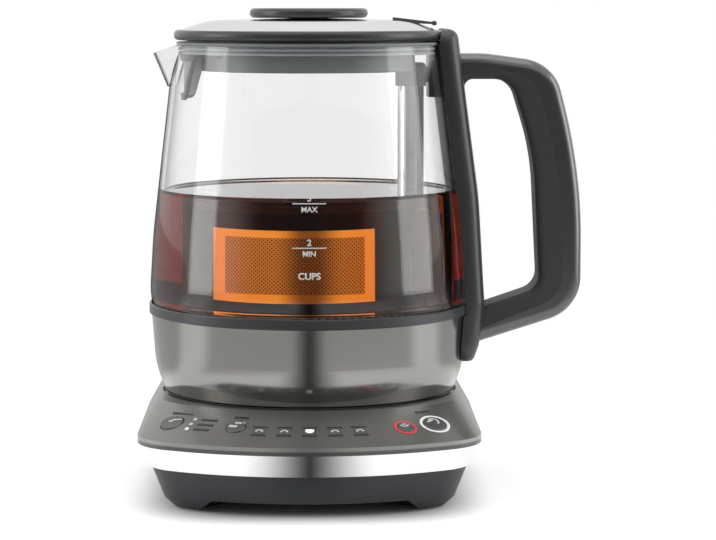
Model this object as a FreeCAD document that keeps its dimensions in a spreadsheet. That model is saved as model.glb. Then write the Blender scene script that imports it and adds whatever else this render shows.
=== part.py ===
import FreeCAD, Part
import math
import os
import re

import Sketcher
from FreeCAD import Vector

"""Automatic tea maker: a glass jug with a heated steel foot, standing on a mains power base with a
sloping control panel. A perforated tea basket rides up and down a steel post inside the jug, drawn by
a magnet carrier that a lead screw moves inside the post.

Millimetres, +Z up. Every piece is drawn about the jug's own upright axis, and then placed so that the
middle of the whole object's footprint stands on the origin. -Y is the front, +X the handle's side.
"""

doc = FreeCAD.newDocument("tea_maker")
sheet = doc.addObject("Spreadsheet::Sheet", "Sizes")

# alias, value in millimetres, degrees, pieces or a share, and what it sizes
SIZES = [
    # power base, seen from above
    ("side_run", 6.8, "base: plateau to the lip at the sides"),
    ("panel_run", 28.0, "base: plateau to the lip in front, across the control panel"),
    ("back_run", 8.0, "base: plateau to the lip behind"),
    ("front_arc_radius", 125.0, "base: bow of the front edge in plan"),
    ("back_arc_radius", 140.0, "base: bow of the back edge in plan"),
    ("front_corner_radius", 28.0, "base: front corners in plan"),
    ("back_corner_radius", 34.0, "base: back corners in plan"),
    # power base, heights and walls
    ("base_wall", 2.4, "moulded wall of the base"),
    ("skirt_clearance", 0.8, "floor to the lower edge of the housing"),
    ("skirt_heel", 4.2, "housing: height of its rounded lower edge"),
    ("skirt_heel_in", 4.6, "housing: how far that edge draws in"),
    ("skirt_inset", 12.0, "housing: above its rounded lower edge, in from the lip"),
    ("waist_inset", 6.2, "housing: lower edge of the polished strip, in from the lip"),
    ("lip_inset", 2.8, "housing: upper edge, in from the lip"),
    ("lip_underside", 29.9, "height of the cover's lip"),
    ("lip_thickness", 3.6, "upright part of the cover's lip"),
    ("panel_rise", 12.0, "lip to plateau"),
    ("plateau_side", 1.6, "cover plateau: beyond the jug's dish at the sides"),
    ("plateau_ahead", 2.6, "cover plateau: beyond the dish in front"),
    ("plateau_behind", 2.6, "cover plateau: beyond the dish behind"),
    ("cover_roof", 4.4, "plateau down to the cover's inner roof"),
    ("seat_clearance", 1.8, "dish that the jug stands in: gap round the steel foot"),
    ("seat_depth", 2.0, "depth of that dish"),
    ("arch_side", 33.8, "arch in the front of the housing: its top, in from the lip's sides"),
    ("arch_flare", 7.0, "arch: extra half width at its foot"),
    ("arch_height", 6.4, "arch: height of its top"),
    ("arch_curve", 3.0, "arch: rounded upper corners"),
    ("trim_height", 10.2, "polished strip: height"),
    ("trim_thickness", 1.0, "polished strip: thickness"),
    ("trim_end", 22.0, "polished strip: its ends, in front of the axis"),
    ("fit_gap", 0.15, "gap left between fixed neighbours"),
    ("merge", 1.0, "overlap of members that are joined, and what a cutter runs past a face"),
    ("small_round", 0.6, "small rounded edges"),
    # bottom plate, feet, screws
    ("plate_height", 7.0, "underside of the bottom plate"),
    ("plate_thickness", 2.2, "bottom plate"),
    ("ledge_width", 2.4, "ledge that the bottom plate closes against"),
    ("ledge_thickness", 1.6, "thickness of that ledge"),
    ("foot_side", 29.8, "feet: in from the lip at the sides"),
    ("foot_ahead", 48.0, "front feet: in from the lip"),
    ("foot_behind", 42.0, "back feet: in from the lip"),
    ("foot_radius", 8.0, "rubber foot"),
    ("foot_wall", 1.8, "cup round each rubber foot"),
    ("foot_proud", 1.4, "rubber foot below its cup"),
    ("pillar_side", 20.8, "screw pillars: in from the lip at the sides"),
    ("pillar_front", 24.0, "screw pillars: front pair"),
    ("pillar_back", 12.0, "screw pillars: back pair"),
    ("pillar_radius", 4.0, "screw pillars under the cover"),
    ("screw_radius", 1.4, "self-tapping screw: shank"),
    ("screw_head_radius", 2.8, "screw head"),
    ("screw_head_height", 1.8, "screw head height"),
    ("screw_length", 13.0, "screw shank length"),
    ("vent_count", 6.0, "cooling slots in the bottom plate"),
    ("vent_length", 30.0, "cooling slot length"),
    ("vent_width", 2.2, "cooling slot width"),
    ("vent_pitch", 6.0, "cooling slot pitch"),
    # cord inlet
    ("inlet_height", 16.0, "cord inlet above the floor"),
    ("inlet_bore", 3.7, "cord inlet: bore radius"),
    ("inlet_radius", 6.0, "cord inlet: body radius"),
    ("inlet_flange", 7.0, "cord inlet: flange radius"),
    ("inlet_flange_thickness", 2.0, "cord inlet: flange thickness"),
    ("inlet_length", 9.0, "cord inlet: length inside its flange"),
    # cordless connector
    ("tower_radius", 16.0, "base connector tower"),
    ("tower_rise", 10.5, "tower top above the jug's seat"),
    ("tower_flange_radius", 22.0, "tower flange under the cover"),
    ("tower_flange_thickness", 2.4, "tower flange"),
    ("pin_hole_radius", 3.0, "tower: middle hole"),
    ("inner_groove_radius", 6.5, "tower: inner ring groove, inner wall"),
    ("outer_groove_radius", 11.0, "tower: outer ring groove, inner wall"),
    ("groove_width", 2.2, "tower: ring groove width"),
    ("groove_depth", 9.0, "tower: ring groove depth"),
    ("ring_thickness", 0.6, "contact ring"),
    ("ring_height", 6.0, "contact ring"),
    ("socket_clearance", 0.5, "jug socket round the tower"),
    ("socket_wall", 3.5, "jug socket wall"),
    ("socket_roof", 4.5, "jug socket roof"),
    ("socket_flange", 5.0, "jug socket flange beyond its wall"),
    ("prong_radius", 0.4, "jug contact prongs"),
    ("prong_length", 6.0, "jug contact prongs below the socket roof"),
    ("prong_count", 3.0, "jug contact prongs on each ring"),
    ("centre_pin_radius", 1.6, "jug centre pin"),
    ("connector_round", 1.0, "tower and socket: rounded upper edges"),
    # control panel: places are an angle round the panel's bow and a distance down its slope
    ("tea_angle", -33.8, "tea type button: angle"),
    ("tea_down", 15.0, "tea type button: down the slope"),
    ("tea_radius", 5.4, "tea type button"),
    ("strength_angle", -17.2, "strength button: angle"),
    ("strength_down", 14.6, "strength button: down the slope"),
    ("strength_radius", 4.4, "strength button"),
    ("warm_angle", 22.4, "keep warm button: angle"),
    ("warm_down", 16.4, "keep warm button: down the slope"),
    ("warm_radius", 3.9, "keep warm button"),
    ("start_angle", 30.2, "start button: angle"),
    ("start_down", 15.7, "start button: down the slope"),
    ("start_radius", 5.6, "start button"),
    ("button_gap", 0.3, "gap round each button"),
    ("button_proud", 0.5, "button above the panel"),
    ("button_flange", 0.9, "button flange beyond its cap"),
    ("button_flange_thickness", 0.8, "button flange"),
    ("button_travel", 0.8, "button travel"),
    ("button_play", 1.0, "button flange below the panel's inner face"),
    ("ring_light_width", 1.0, "light ring round a lit button"),
    ("ring_light_proud", 0.2, "light ring above the panel"),
    ("stem_radius", 1.6, "button stem"),
    ("switch_gap", 0.5, "pressed stem to its switch"),
    ("switch_size", 6.0, "tact switch: side"),
    ("switch_height", 2.4, "tact switch: height"),
    ("lamp_count", 5.0, "cup indicator lamps"),
    ("lamp_pitch", 5.7, "cup indicator lamps: angle between them"),
    ("lamp_down", 17.1, "cup indicator lamps: down the slope"),
    ("lamp_length", 5.0, "cup indicator lamp: length"),
    ("lamp_width", 4.0, "cup indicator lamp: width"),
    ("lamp_depth", 4.4, "indicator lamps: depth"),
    ("lamp_proud", 0.1, "indicator lamps above the panel"),
    ("list_count", 3.0, "tea list lamps"),
    ("list_angle", -28.7, "tea list lamps: angle"),
    ("list_down", 10.4, "tea list lamps: first one, down the slope"),
    ("list_pitch", 4.0, "tea list lamps: pitch"),
    ("list_radius", 0.9, "tea list lamp"),
    ("board_depth", 12.0, "panel to the control boards"),
    ("board_margin", 5.0, "control boards: reach beyond the outermost button"),
    ("board_half_height", 6.5, "control boards: half size down the slope"),
    ("board_thickness", 1.6, "circuit boards"),
    ("boss_radius", 1.6, "bosses that carry the control boards"),
    ("power_board_half", 22.0, "power board: half side"),
    ("power_board_behind", 38.0, "power board: centre, in from the back lip"),
    ("standoff_height", 4.0, "power board above the bottom plate"),
    ("standoff_radius", 2.5, "posts under the power board"),
    ("standoff_inset", 3.0, "posts under the power board: in from its edges"),
    ("relay_length", 20.0, "relay on the power board"),
    ("relay_width", 15.0, "relay on the power board"),
    ("relay_height", 15.0, "relay on the power board"),
    ("relay_inset", 3.0, "relay: in from the board's edge"),
    ("filter_radius", 5.0, "capacitor on the power board"),
    ("filter_height", 13.0, "capacitor on the power board"),
    ("filter_inset", 4.0, "capacitor: in from the board's edge"),
    # jug foot
    ("shell_lift", 0.6, "steel foot above the jug's seat"),
    ("shell_foot_in", 5.0, "steel foot: lower corner, in from the waist"),
    ("shell_foot_curve", 4.0, "steel foot: curve of that corner"),
    ("shell_waist_in", 1.7, "steel foot: waist, in from the top"),
    ("shell_waist_rise", 14.5, "steel foot: waist above the seat"),
    ("shell_waist_curve", 40.0, "steel foot: curve of the waist"),
    ("shell_top_radius", 74.3, "steel foot: top"),
    ("shell_wall", 0.8, "steel foot sheet"),
    ("shell_turn_in", 5.6, "steel foot: turned-in edge"),
    ("band_rise", 38.5, "underside of the dark band, above the jug's seat"),
    ("band_tall", 5.0, "dark band: visible height"),
    ("band_proud", 1.1, "dark band: beyond the steel foot"),
    ("band_wall", 1.0, "dark band: wall round the glass"),
    ("band_shelf_width", 10.4, "band's inner shelf: width"),
    ("band_shelf_thickness", 1.4, "band's inner shelf"),
    ("collar_gap", 0.5, "band's collar to the steel sheet"),
    ("collar_wall", 1.2, "band's collar inside the steel foot"),
    ("collar_depth", 3.0, "band's collar below the steel's edge"),
    ("underside_thickness", 2.0, "jug's moulded underside"),
    ("tread_in", 7.6, "standing ring under the jug: in from the steel foot's corner"),
    ("tread_width", 6.0, "standing ring under the jug: width"),
    # glass
    ("glass_wall", 2.6, "glass wall"),
    ("glass_foot_lap", 6.7, "glass: turned-in foot, round its opening"),
    ("glass_band_gap", 0.7, "glass: gap inside the band"),
    ("glass_foot_curve", 4.4, "glass: curve of the foot corner"),
    ("glass_swell", 1.3, "glass: its widest part, beyond its foot corner"),
    ("glass_low_rise", 9.6, "glass: its widest part above its foot"),
    ("glass_low_curve", 40.0, "glass: curve there"),
    ("glass_belly_in", 1.8, "glass: belly, in from its widest part"),
    ("glass_belly_rise", 37.6, "glass: its belly above its foot"),
    ("glass_belly_curve", 240.0, "glass: belly curve"),
    ("mouth_in", 10.2, "glass: mouth, in from its belly"),
    ("glass_tall", 124.0, "glass: mouth above its foot"),
    ("spout_low_drop", 19.4, "spout: where it leaves the wall, below the mouth"),
    ("spout_low_half", 9.0, "spout: half width there"),
    ("spout_out", 11.3, "spout: tip beyond the mouth's outside"),
    ("spout_drop", 4.5, "spout: tip below the mouth"),
    ("spout_half", 30.0, "spout: half width where it meets the rim"),
    ("spout_tip_half", 4.0, "spout: half width of its nose"),
    ("spout_tip_curve", 6.0, "spout: curve of its nose"),
    ("spout_start", 0.8, "spout: how far it stands out where it leaves the wall"),
    ("spout_side_wall", 1.56, "spout: wall of its slanting sides, measured across"),
    ("spout_nose_wall", 1.04, "spout: wall beside its nose, measured across"),
    ("spout_fall_start", 2.0, "spout: where the rim starts to fall, in from the mouth's outside"),
    # heating
    ("heater_gap", 1.5, "heater plate: gap to the glass round it"),
    ("heater_thickness", 0.8, "heater plate"),
    ("spreader_radius", 38.0, "aluminium heat spreader"),
    ("spreader_thickness", 2.0, "heat spreader"),
    ("element_ring_radius", 31.0, "heating element ring"),
    ("element_radius", 3.4, "heating element tube"),
    ("element_gap", 30.0, "heating element: degrees left open"),
    ("element_tail", 9.0, "heating element: cold tails"),
    ("probe_x", 44.0, "temperature probe: left of the axis"),
    ("probe_radius", 2.5, "temperature probe"),
    ("probe_rise", 3.2, "temperature probe above the plate"),
    ("probe_depth", 14.0, "temperature probe below the plate"),
    ("probe_round", 1.5, "temperature probe: rounded tip"),
    ("plate_seal_height", 2.4, "heater seal above the glass foot"),
    ("plate_seal_lap", 2.5, "heater seal over the plate"),
    ("plate_seal_lip", 1.2, "heater seal: thickness of its lip over the plate"),
    # post and lift drive
    ("post_in", 12.6, "guide post: centre, in from the mouth's bore"),
    ("post_radius", 6.2, "guide post: outside"),
    ("post_wall", 0.6, "guide post: sheet"),
    ("post_key_width", 1.6, "guide post: pressed groove"),
    ("post_key_depth", 0.6, "guide post: pressed groove"),
    ("foot_flange_radius", 10.0, "post foot flange"),
    ("foot_flange_height", 3.0, "post foot flange"),
    ("foot_flange_edge", 1.0, "post foot flange: thickness of its edge and of its collar"),
    ("post_cap_radius", 7.3, "cap on the post"),
    ("post_cap_tall", 11.0, "cap on the post: height"),
    ("post_cap_drop", 8.4, "cap on the post: its top below the mouth"),
    ("post_cap_roof", 6.0, "cap on the post: roof"),
    ("post_cap_curve", 2.0, "cap on the post: rounded top"),
    ("shaft_radius", 2.4, "lead screw"),
    ("carrier_height", 18.0, "magnet carrier"),
    ("carrier_rise", 13.0, "magnet carrier: lower face above the basket's underside"),
    ("running_gap", 0.3, "gap between sliding pieces"),
    ("magnet_radius", 0.9, "carrier magnets"),
    ("magnet_length", 12.0, "carrier magnets"),
    ("motor_radius", 6.5, "lift gearmotor"),
    ("motor_length", 22.0, "lift gearmotor"),
    ("motor_drop", 12.0, "heater plate down to the gearmotor"),
    ("motor_shaft_radius", 1.5, "gearmotor shaft"),
    ("motor_shaft_length", 4.0, "gearmotor shaft, outside the motor"),
    ("motor_shaft_sunk", 3.0, "gearmotor shaft, inside the motor"),
    ("motor_mount_wall", 1.5, "sleeve that holds the gearmotor"),
    ("motor_mount_grip", 5.0, "sleeve that holds the gearmotor: its reach down the motor"),
    ("coupler_radius", 3.8, "shaft coupler"),
    ("coupler_height", 8.0, "shaft coupler"),
    # basket
    ("basket_x", -2.5, "basket: centre"),
    ("basket_post_gap", 1.6, "basket: gap to the guide post"),
    ("basket_wall", 0.8, "basket sheet"),
    ("basket_clearance", 3.8, "basket: underside above the heater plate"),
    ("basket_tall", 43.0, "basket: height"),
    ("window_sill", 3.0, "basket windows: lower edge above the basket's underside"),
    ("window_head", 7.6, "basket windows: upper edge below the basket's"),
    ("window_handle_angle", 43.0, "windows: straight ahead to their handle-side edge"),
    ("window_spout_angle", 57.0, "windows: straight ahead to their spout-side edge"),
    ("screen_thickness", 0.3, "perforated screens"),
    ("screen_lap", 1.6, "perforated screens beyond the window"),
    ("drain_count", 10.0, "slots in the basket floor"),
    ("drain_length", 22.0, "basket floor slot length"),
    ("drain_width", 1.2, "basket floor slot width"),
    ("drain_start", 10.0, "basket floor slots: inner end"),
    ("basket_lid_height", 3.4, "basket lid: rim height"),
    ("basket_lid_roof", 1.4, "basket lid: thickness"),
    ("basket_lid_plug", 3.0, "basket lid: part inside the basket"),
    ("basket_lid_plug_wall", 1.2, "basket lid: wall of that part"),
    ("basket_lid_rim", 3.0, "basket lid: width of its raised rim"),
    ("basket_lid_bevel", 1.5, "basket lid: slope inside that rim"),
    ("pull_radius", 8.0, "basket lid pull"),
    ("pull_height", 4.4, "basket lid pull"),
    ("pull_round", 1.5, "basket lid pull: rounded edge"),
    ("saddle_half_width", 10.4, "basket saddle: half width"),
    ("saddle_sill", 4.0, "basket saddle: lower end above the basket's underside"),
    ("saddle_head", 3.0, "basket saddle: upper end below the basket's edge"),
    ("saddle_reach", 3.0, "basket saddle: arms past the post's middle"),
    ("saddle_root", 5.0, "basket saddle: its start, inside the basket's outermost face"),
    ("slug_radius", 1.1, "steel slugs in the saddle"),
    ("slug_length", 14.0, "steel slugs in the saddle"),
    # bracket over the rim
    ("bracket_half_width", 7.5, "post bracket: half width"),
    ("bracket_drop", 24.4, "post bracket: lower end, below the mouth"),
    ("bracket_in", 4.6, "post bracket: inner face of its upright, in from the mouth's bore"),
    ("bracket_gap", 0.3, "post bracket to the glass"),
    ("arm_tall", 7.0, "post bracket: height of its arm"),
    ("arm_drop", 2.0, "post bracket: top of its arm below the post's cap"),
    ("arm_half_width", 5.2, "post bracket: half width of its arm"),
    ("strap_gap", 0.2, "strap above the glass rim"),
    ("strap_thickness", 1.6, "strap over the glass rim"),
    ("strap_end", 4.0, "strap: its end, in from the handle column's shoulder"),
    # handle column
    ("column_half_width", 20.0, "handle column: half width"),
    ("column_edge", 7.0, "handle column: rounded long edges"),
    ("column_gap", 0.3, "handle column to the jug"),
    ("column_inner_in", 12.2, "handle column: inner face, in from the mouth, before the jug is cut from it"),
    ("column_plain", 10.0, "handle column: inner stretch whose long edges stay sharp"),
    ("column_low_drop", 22.6, "handle column: lower end, below the band"),
    ("column_end_out", 2.4, "handle column: outer face at its lower end, beyond the steel"),
    ("column_end_curve", 3.0, "handle column: curve of its lower end"),
    ("column_heel_out", 5.3, "handle column: outer face under the grip, beyond the steel"),
    ("column_heel_drop", 14.5, "handle column: under the grip, below the band"),
    ("column_heel_curve", 20.0, "handle column: curve under the grip"),
    ("column_foot_out", 7.7, "handle column: outer face at the gap's foot, beyond the steel"),
    ("column_foot_rise", 5.0, "handle column: the gap's foot, above the band"),
    ("column_foot_curve", 10.0, "handle column: curve at the gap's foot"),
    ("column_middle_out", 4.8, "handle column: outer face at its middle, beyond the steel"),
    ("column_middle_share", 0.426, "handle column: its middle, as a share of the way up it"),
    ("column_middle_curve", 200.0, "handle column: curve of its middle"),
    ("column_shoulder_out", 7.3, "handle column: outer face at its shoulder, beyond the mouth"),
    ("column_shoulder_drop", 4.4, "handle column: shoulder, below the mouth"),
    ("column_shoulder_curve", 30.0, "handle column: curve of its shoulder"),
    ("column_top_in", 1.5, "handle column: outer face at the top, in from its shoulder"),
    ("column_rise", 7.4, "handle column: upper end above the mouth"),
    ("column_cap_curve", 5.0, "handle column: curve of its top"),
    # handle screws, from inside the steel foot
    ("handle_screw_length", 6.8, "handle screws: shank and head"),
    ("handle_screw_inset", 1.2, "handle screws: head to the steel at its edge"),
    ("handle_screw_drop", 6.0, "handle screws: upper one below the band"),
    ("handle_screw_pitch", 7.0, "handle screws: pitch"),
    # handle grip
    ("grip_half_width", 13.0, "handle grip: half width"),
    ("grip_edge", 5.0, "outer handle cover: rounded long edges"),
    ("grip_inner_edge", 3.5, "handle grip: rounded long edges round the finger gap"),
    ("grip_sunk", 3.0, "handle grip: reach of its foot into the column"),
    ("grip_sunk_arm", 6.0, "handle grip: reach of its top arm into the column"),
    ("grip_plain", 4.0, "handle grip: stretch beside the column whose long edges stay sharp"),
    ("grip_out", 45.5, "handle grip: reach at its fullest, beyond the column at the gap's foot"),
    ("grip_reach_share", 0.559, "handle grip: where its side turns, as a share of the way up"),
    ("grip_side_share", 1.28, "handle grip: curve of its side, from the slope above that turn"),
    ("grip_bend_out", 11.7, "handle grip: where the top arm dips, beyond the column's shoulder"),
    ("grip_bend_curve", 60.0, "handle grip: curve of that dip"),
    ("grip_top_drop", 4.0, "handle grip: top at the column, below the mouth"),
    ("grip_corner_in", 13.3, "handle grip: upper corner, in from its fullest reach"),
    ("grip_corner_drop", 8.4, "handle grip: upper corner, below the mouth"),
    ("grip_corner_curve", 20.0, "handle grip: curve of the upper corner"),
    ("grip_low_rise", 1.4, "handle grip: lower corner, above the band"),
    ("grip_low_curve", 21.0, "handle grip: curve of the lower corner"),
    ("grip_root_drop", 13.8, "handle grip: underside at the column, below the band"),
    ("grip_skin", 9.0, "outer handle cover: thickness at the side"),
    ("grip_skin_arm", 5.6, "outer handle cover: thickness along the arms"),
    ("grip_skin_corner", 6.7, "outer handle cover: thickness at its corners, measured upright"),
    # finger gap
    ("gap_top_drop", 15.9, "finger gap: top, below the mouth"),
    ("gap_corner_in", 33.5, "finger gap: upper corner, in from the grip's reach"),
    ("gap_corner_curve", 11.0, "finger gap: curve of the upper corner"),
    ("gap_side_in", 22.9, "finger gap: outer side, in from the grip's reach"),
    ("gap_side_share", 0.646, "finger gap: where its side turns, as a share of the way up"),
    ("gap_side_curve", 120.0, "finger gap: curve of its outer side"),
    ("gap_low_in", 19.7, "finger gap: lower outer corner, in from the grip's reach"),
    ("gap_low_rise", 12.0, "finger gap: lower outer corner, above the band"),
    ("gap_low_curve", 9.0, "finger gap: curve of that corner"),
    ("gap_root_rise", 3.2, "finger gap: foot at the column, above the band"),
    ("gap_root_curve", 4.0, "finger gap: small curves at the column"),
    # lid
    ("lid_rim_lap", 1.2, "lid rim: beyond its seal's flange"),
    ("lid_gap", 2.2, "lid rim above the glass"),
    ("lid_rim_height", 4.7, "lid rim"),
    ("lid_rim_width", 6.0, "lid rim: radial width"),
    ("lid_rim_curve", 2.0, "lid rim: rounded nose"),
    ("lid_dome_in", 2.6, "steel lid top: in from the lid rim"),
    ("lid_dome_rise", 5.4, "steel lid top: rise"),
    ("lid_shoulder_in", 13.4, "steel lid top: where it turns down, in from its edge"),
    ("lid_shoulder_drop", 1.0, "steel lid top: drop to that shoulder"),
    ("lid_shoulder_curve", 40.0, "steel lid top: curve of the shoulder"),
    ("lid_sheet", 0.8, "steel lid sheet"),
    ("lid_lap", 2.0, "steel lid top: flat edge on the rim"),
    ("knob_radius", 27.6, "lid knob"),
    ("knob_height", 4.6, "lid knob"),
    ("knob_curve", 2.0, "lid knob: rounded rim"),
    ("knob_stem_radius", 9.0, "lid knob stem"),
    ("knob_gap", 0.2, "lid knob above the steel"),
    ("skirt_low_in", 10.2, "lid skirt: lower wall, in from the mouth's bore"),
    ("skirt_step_drop", 4.4, "lid skirt: step, below the mouth"),
    ("skirt_low_drop", 12.2, "lid skirt: lower edge, below the mouth"),
    ("skirt_wall", 1.8, "lid skirt wall"),
    ("skirt_notch", 11.0, "lid skirt: half width of its notch at the post"),
    ("notch_gap", 4.0, "lid skirt: notch to the cap on the post"),
    ("lid_clearance", 0.5, "lid seal and strainer to the glass mouth"),
    ("seal_lip_reach", 1.5, "lid seal: reach of its lips"),
    ("seal_lip", 1.0, "lid seal: lip thickness"),
    ("seal_flange_in", 1.2, "lid seal: flange, in from the mouth's outside"),
    ("seal_flange_thickness", 1.2, "lid seal: flange"),
    ("seal_gap", 0.1, "lid seal to its neighbours"),
    ("strainer_frame", 1.4, "spout strainer: frame thickness"),
    ("strainer_drop", 25.4, "spout strainer: lower end, below the mouth"),
    ("strainer_top_half", 32.0, "spout strainer: half width at the top"),
    ("strainer_low_half", 20.0, "spout strainer: half width at its foot"),
    ("strainer_curve", 8.0, "spout strainer: lower corners"),
    ("strainer_border", 3.0, "spout strainer: frame border"),
    ("tab_length", 19.6, "lid thumb tab: length"),
    ("tab_end_in", 4.4, "lid thumb tab: outer end, in from the lid's rim"),
    ("tab_rise", 3.6, "lid thumb tab: tip above the lid's edge"),
    ("tab_half_width", 7.0, "lid thumb tab: half width"),
    ("tab_thickness", 1.0, "lid thumb tab"),
]

# sizes that follow from the ones above; each expression may use them and each other
FOLLOWS = {
    "axis_x": "(base_half_width - grip_reach) / 2",
    "axis_y": "(base_front - base_back) / 2",
    "lip_top": "(lip_underside + lip_thickness)",
    "plateau": "(lip_top + panel_rise)",
    "inner_roof": "(plateau - cover_roof)",
    "trim_low": "(lip_underside - trim_height)",
    "plate_top": "(plate_height + plate_thickness)",
    "seat": "(plateau - seat_depth)",
    "tower_top": "(seat + tower_rise)",
    "shell_foot": "(seat + shell_lift)",
    "shell_waist": "(seat + shell_waist_rise)",
    "glass_foot": "(band_height + band_shelf_thickness)",
    "heater_low": "(glass_foot)",
    "water_floor": "(heater_low + heater_thickness)",
    "post_foot": "(water_floor)",
    "post_bore": "(post_radius - post_wall)",
    "post_top": "(post_cap_high - post_cap_roof)",
    "motor_top": "(heater_low - motor_drop)",
    "screw_foot": "(motor_top + motor_shaft_length + running_gap)",
    "screw_top": "(post_top + post_cap_roof / 2)",
    "wall_at_spout": "(mouth_radius + (glass_belly_radius - mouth_radius)"
                     " * (mouth_height - spout_low_height) / (mouth_height - glass_belly_height))",
    "mouth_bore": "(mouth_radius - glass_wall)",
    "seal_radius": "(mouth_bore - lid_clearance)",
    "skirt_radius": "(lid_radius - lid_rim_width)",
    "carrier_radius": "(post_bore - running_gap)",
    "rim_low": "(mouth_height + lid_gap)",
    "rim_high": "(rim_low + lid_rim_height)",
    "dome_top": "(rim_high + lid_dome_rise)",
    "strap_low": "(mouth_height + strap_gap)",
    "strap_high": "(strap_low + strap_thickness)",
    "panel_tilt": "atan(panel_rise / panel_run)",
    "panel_arc": "(front_arc_radius - panel_run)",
    "socket_radius": "(tower_radius + socket_clearance)",
    "socket_top": "(tower_top + socket_clearance + socket_roof)",
    "band_height": "(seat + band_rise)",
    "mouth_height": "(glass_foot + glass_tall)",
    "glass_low_height": "(glass_foot + glass_low_rise)",
    "glass_belly_height": "(glass_foot + glass_belly_rise)",
    "spout_low_height": "(mouth_height - spout_low_drop)",
    "post_cap_high": "(mouth_height - post_cap_drop)",
    "post_cap_low": "(post_cap_high - post_cap_tall)",
    "carrier_low": "(basket_low + carrier_rise)",
    "basket_low": "(water_floor + basket_clearance)",
    "basket_high": "(basket_low + basket_tall)",
    "window_low": "(basket_low + window_sill)",
    "window_high": "(basket_high - window_head)",
    "saddle_low": "(basket_low + saddle_sill)",
    "saddle_high": "(basket_high - saddle_head)",
    "bracket_low": "(mouth_height - bracket_drop)",
    "arm_low": "(post_cap_high - arm_drop - arm_tall)",
    "column_low": "(band_height - column_low_drop)",
    "column_heel_height": "(band_height - column_heel_drop)",
    "column_foot_height": "(band_height + column_foot_rise)",
    "column_middle_height": "(column_foot_height"
                            " + column_middle_share * (column_shoulder_height - column_foot_height))",
    "column_shoulder_height": "(mouth_height - column_shoulder_drop)",
    "column_high": "(mouth_height + column_rise)",
    "grip_reach_height": "(grip_low_height + grip_reach_share * (grip_corner_height - grip_low_height))",
    "grip_side_curve": "(grip_side_share * (grip_corner_height - grip_reach_height) ^ 2"
                       " / (grip_reach - grip_corner_x))",
    "grip_top_height": "(mouth_height - grip_top_drop)",
    "grip_corner_height": "(mouth_height - grip_corner_drop)",
    "grip_low_height": "(band_height + grip_low_rise)",
    "grip_root_height": "(band_height - grip_root_drop)",
    "gap_top_height": "(mouth_height - gap_top_drop)",
    "gap_side_height": "(gap_low_height + gap_side_share * (gap_top_height - gap_low_height))",
    "gap_low_height": "(band_height + gap_low_rise)",
    "gap_root_height": "(band_height + gap_root_rise)",
    "skirt_step_height": "(mouth_height - skirt_step_drop)",
    "skirt_low_height": "(mouth_height - skirt_low_drop)",
    "strainer_low_height": "(mouth_height - strainer_drop)",
    "heel_top": "(skirt_clearance + skirt_heel)",
    "base_half_width": "(plateau_half_width + side_run)",
    "base_front": "(plateau_front + panel_run)",
    "base_back": "(plateau_back + back_run)",
    "plateau_half_width": "(seat_radius + plateau_side)",
    "plateau_front": "(seat_radius + plateau_ahead)",
    "plateau_back": "(seat_radius + plateau_behind)",
    "seat_radius": "(shell_foot_radius + seat_clearance)",
    "foot_x": "(base_half_width - foot_side)",
    "foot_front": "(base_front - foot_ahead)",
    "foot_back": "(base_back - foot_behind)",
    "pillar_x": "(base_half_width - pillar_side)",
    "arch_half_width": "(base_half_width - arch_side)",
    "power_board_back": "(base_back - power_board_behind)",
    "shell_foot_radius": "(shell_waist_radius - shell_foot_in)",
    "shell_waist_radius": "(shell_top_radius - shell_waist_in)",
    "band_radius": "(shell_top_radius + band_proud)",
    "band_shelf_radius": "(band_radius - band_wall - band_shelf_width)",
    "tread_outer": "(shell_foot_radius - tread_in)",
    "tread_inner": "(tread_outer - tread_width)",
    "glass_hole_radius": "(glass_foot_radius - glass_foot_lap)",
    "glass_foot_radius": "(band_radius - band_wall - glass_band_gap)",
    "glass_low_radius": "(glass_foot_radius + glass_swell)",
    "glass_belly_radius": "(glass_low_radius - glass_belly_in)",
    "mouth_radius": "(glass_belly_radius - mouth_in)",
    "spout_reach": "(mouth_radius + spout_out)",
    "heater_radius": "(glass_hole_radius - heater_gap)",
    "post_x": "(mouth_bore - post_in)",
    "bracket_x": "(mouth_bore - bracket_in)",
    "basket_radius": "(post_x - post_radius - basket_post_gap - basket_x)",
    "column_inner_x": "(mouth_radius - column_inner_in)",
    "column_end_x": "(shell_top_radius + column_end_out)",
    "column_heel_x": "(shell_top_radius + column_heel_out)",
    "column_foot_x": "(shell_top_radius + column_foot_out)",
    "column_middle_x": "(shell_top_radius + column_middle_out)",
    "column_shoulder_x": "(mouth_radius + column_shoulder_out)",
    "column_top_x": "(column_shoulder_x - column_top_in)",
    "grip_corner_x": "(grip_reach - grip_corner_in)",
    "grip_bend_x": "(column_shoulder_x + grip_bend_out)",
    "gap_corner_x": "(grip_reach - gap_corner_in)",
    "gap_side_x": "(grip_reach - gap_side_in)",
    "gap_low_x": "(grip_reach - gap_low_in)",
    "grip_reach": "(column_foot_x + grip_out)",
    "lid_radius": "(seal_flange_radius + lid_rim_lap)",
    "seal_flange_radius": "(mouth_radius - seal_flange_in)",
    "seal_core_radius": "(seal_radius - seal_lip_reach)",
    "lid_dome_radius": "(lid_radius - lid_dome_in)",
    "lid_shoulder_radius": "(lid_dome_radius - lid_shoulder_in)",
    "skirt_low_radius": "(mouth_bore - skirt_low_in)",
    "tab_end": "(lid_radius - tab_end_in)",
    "tab_start": "(tab_end - tab_length)",
    "column_slope": "((column_middle_x - column_shoulder_x)"
                    " / (column_shoulder_height - column_middle_height))",
}

SIZE_NAMES = [name for name, value, note in SIZES]
FOLLOWING_NAME = re.compile(r"\b(%s)\b" % "|".join(FOLLOWS))
SIZE_NAME = re.compile(r"(?<![.\w])(%s)\b" % "|".join(sorted(SIZE_NAMES, key=len, reverse=True)))

for row, (name, value, note) in enumerate(SIZES, start=1):
    sheet.set(f"A{row}", note)
    sheet.set(f"B{row}", repr(value))
    sheet.setAlias(f"B{row}", name)
doc.recompute()

NODES = []


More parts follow.
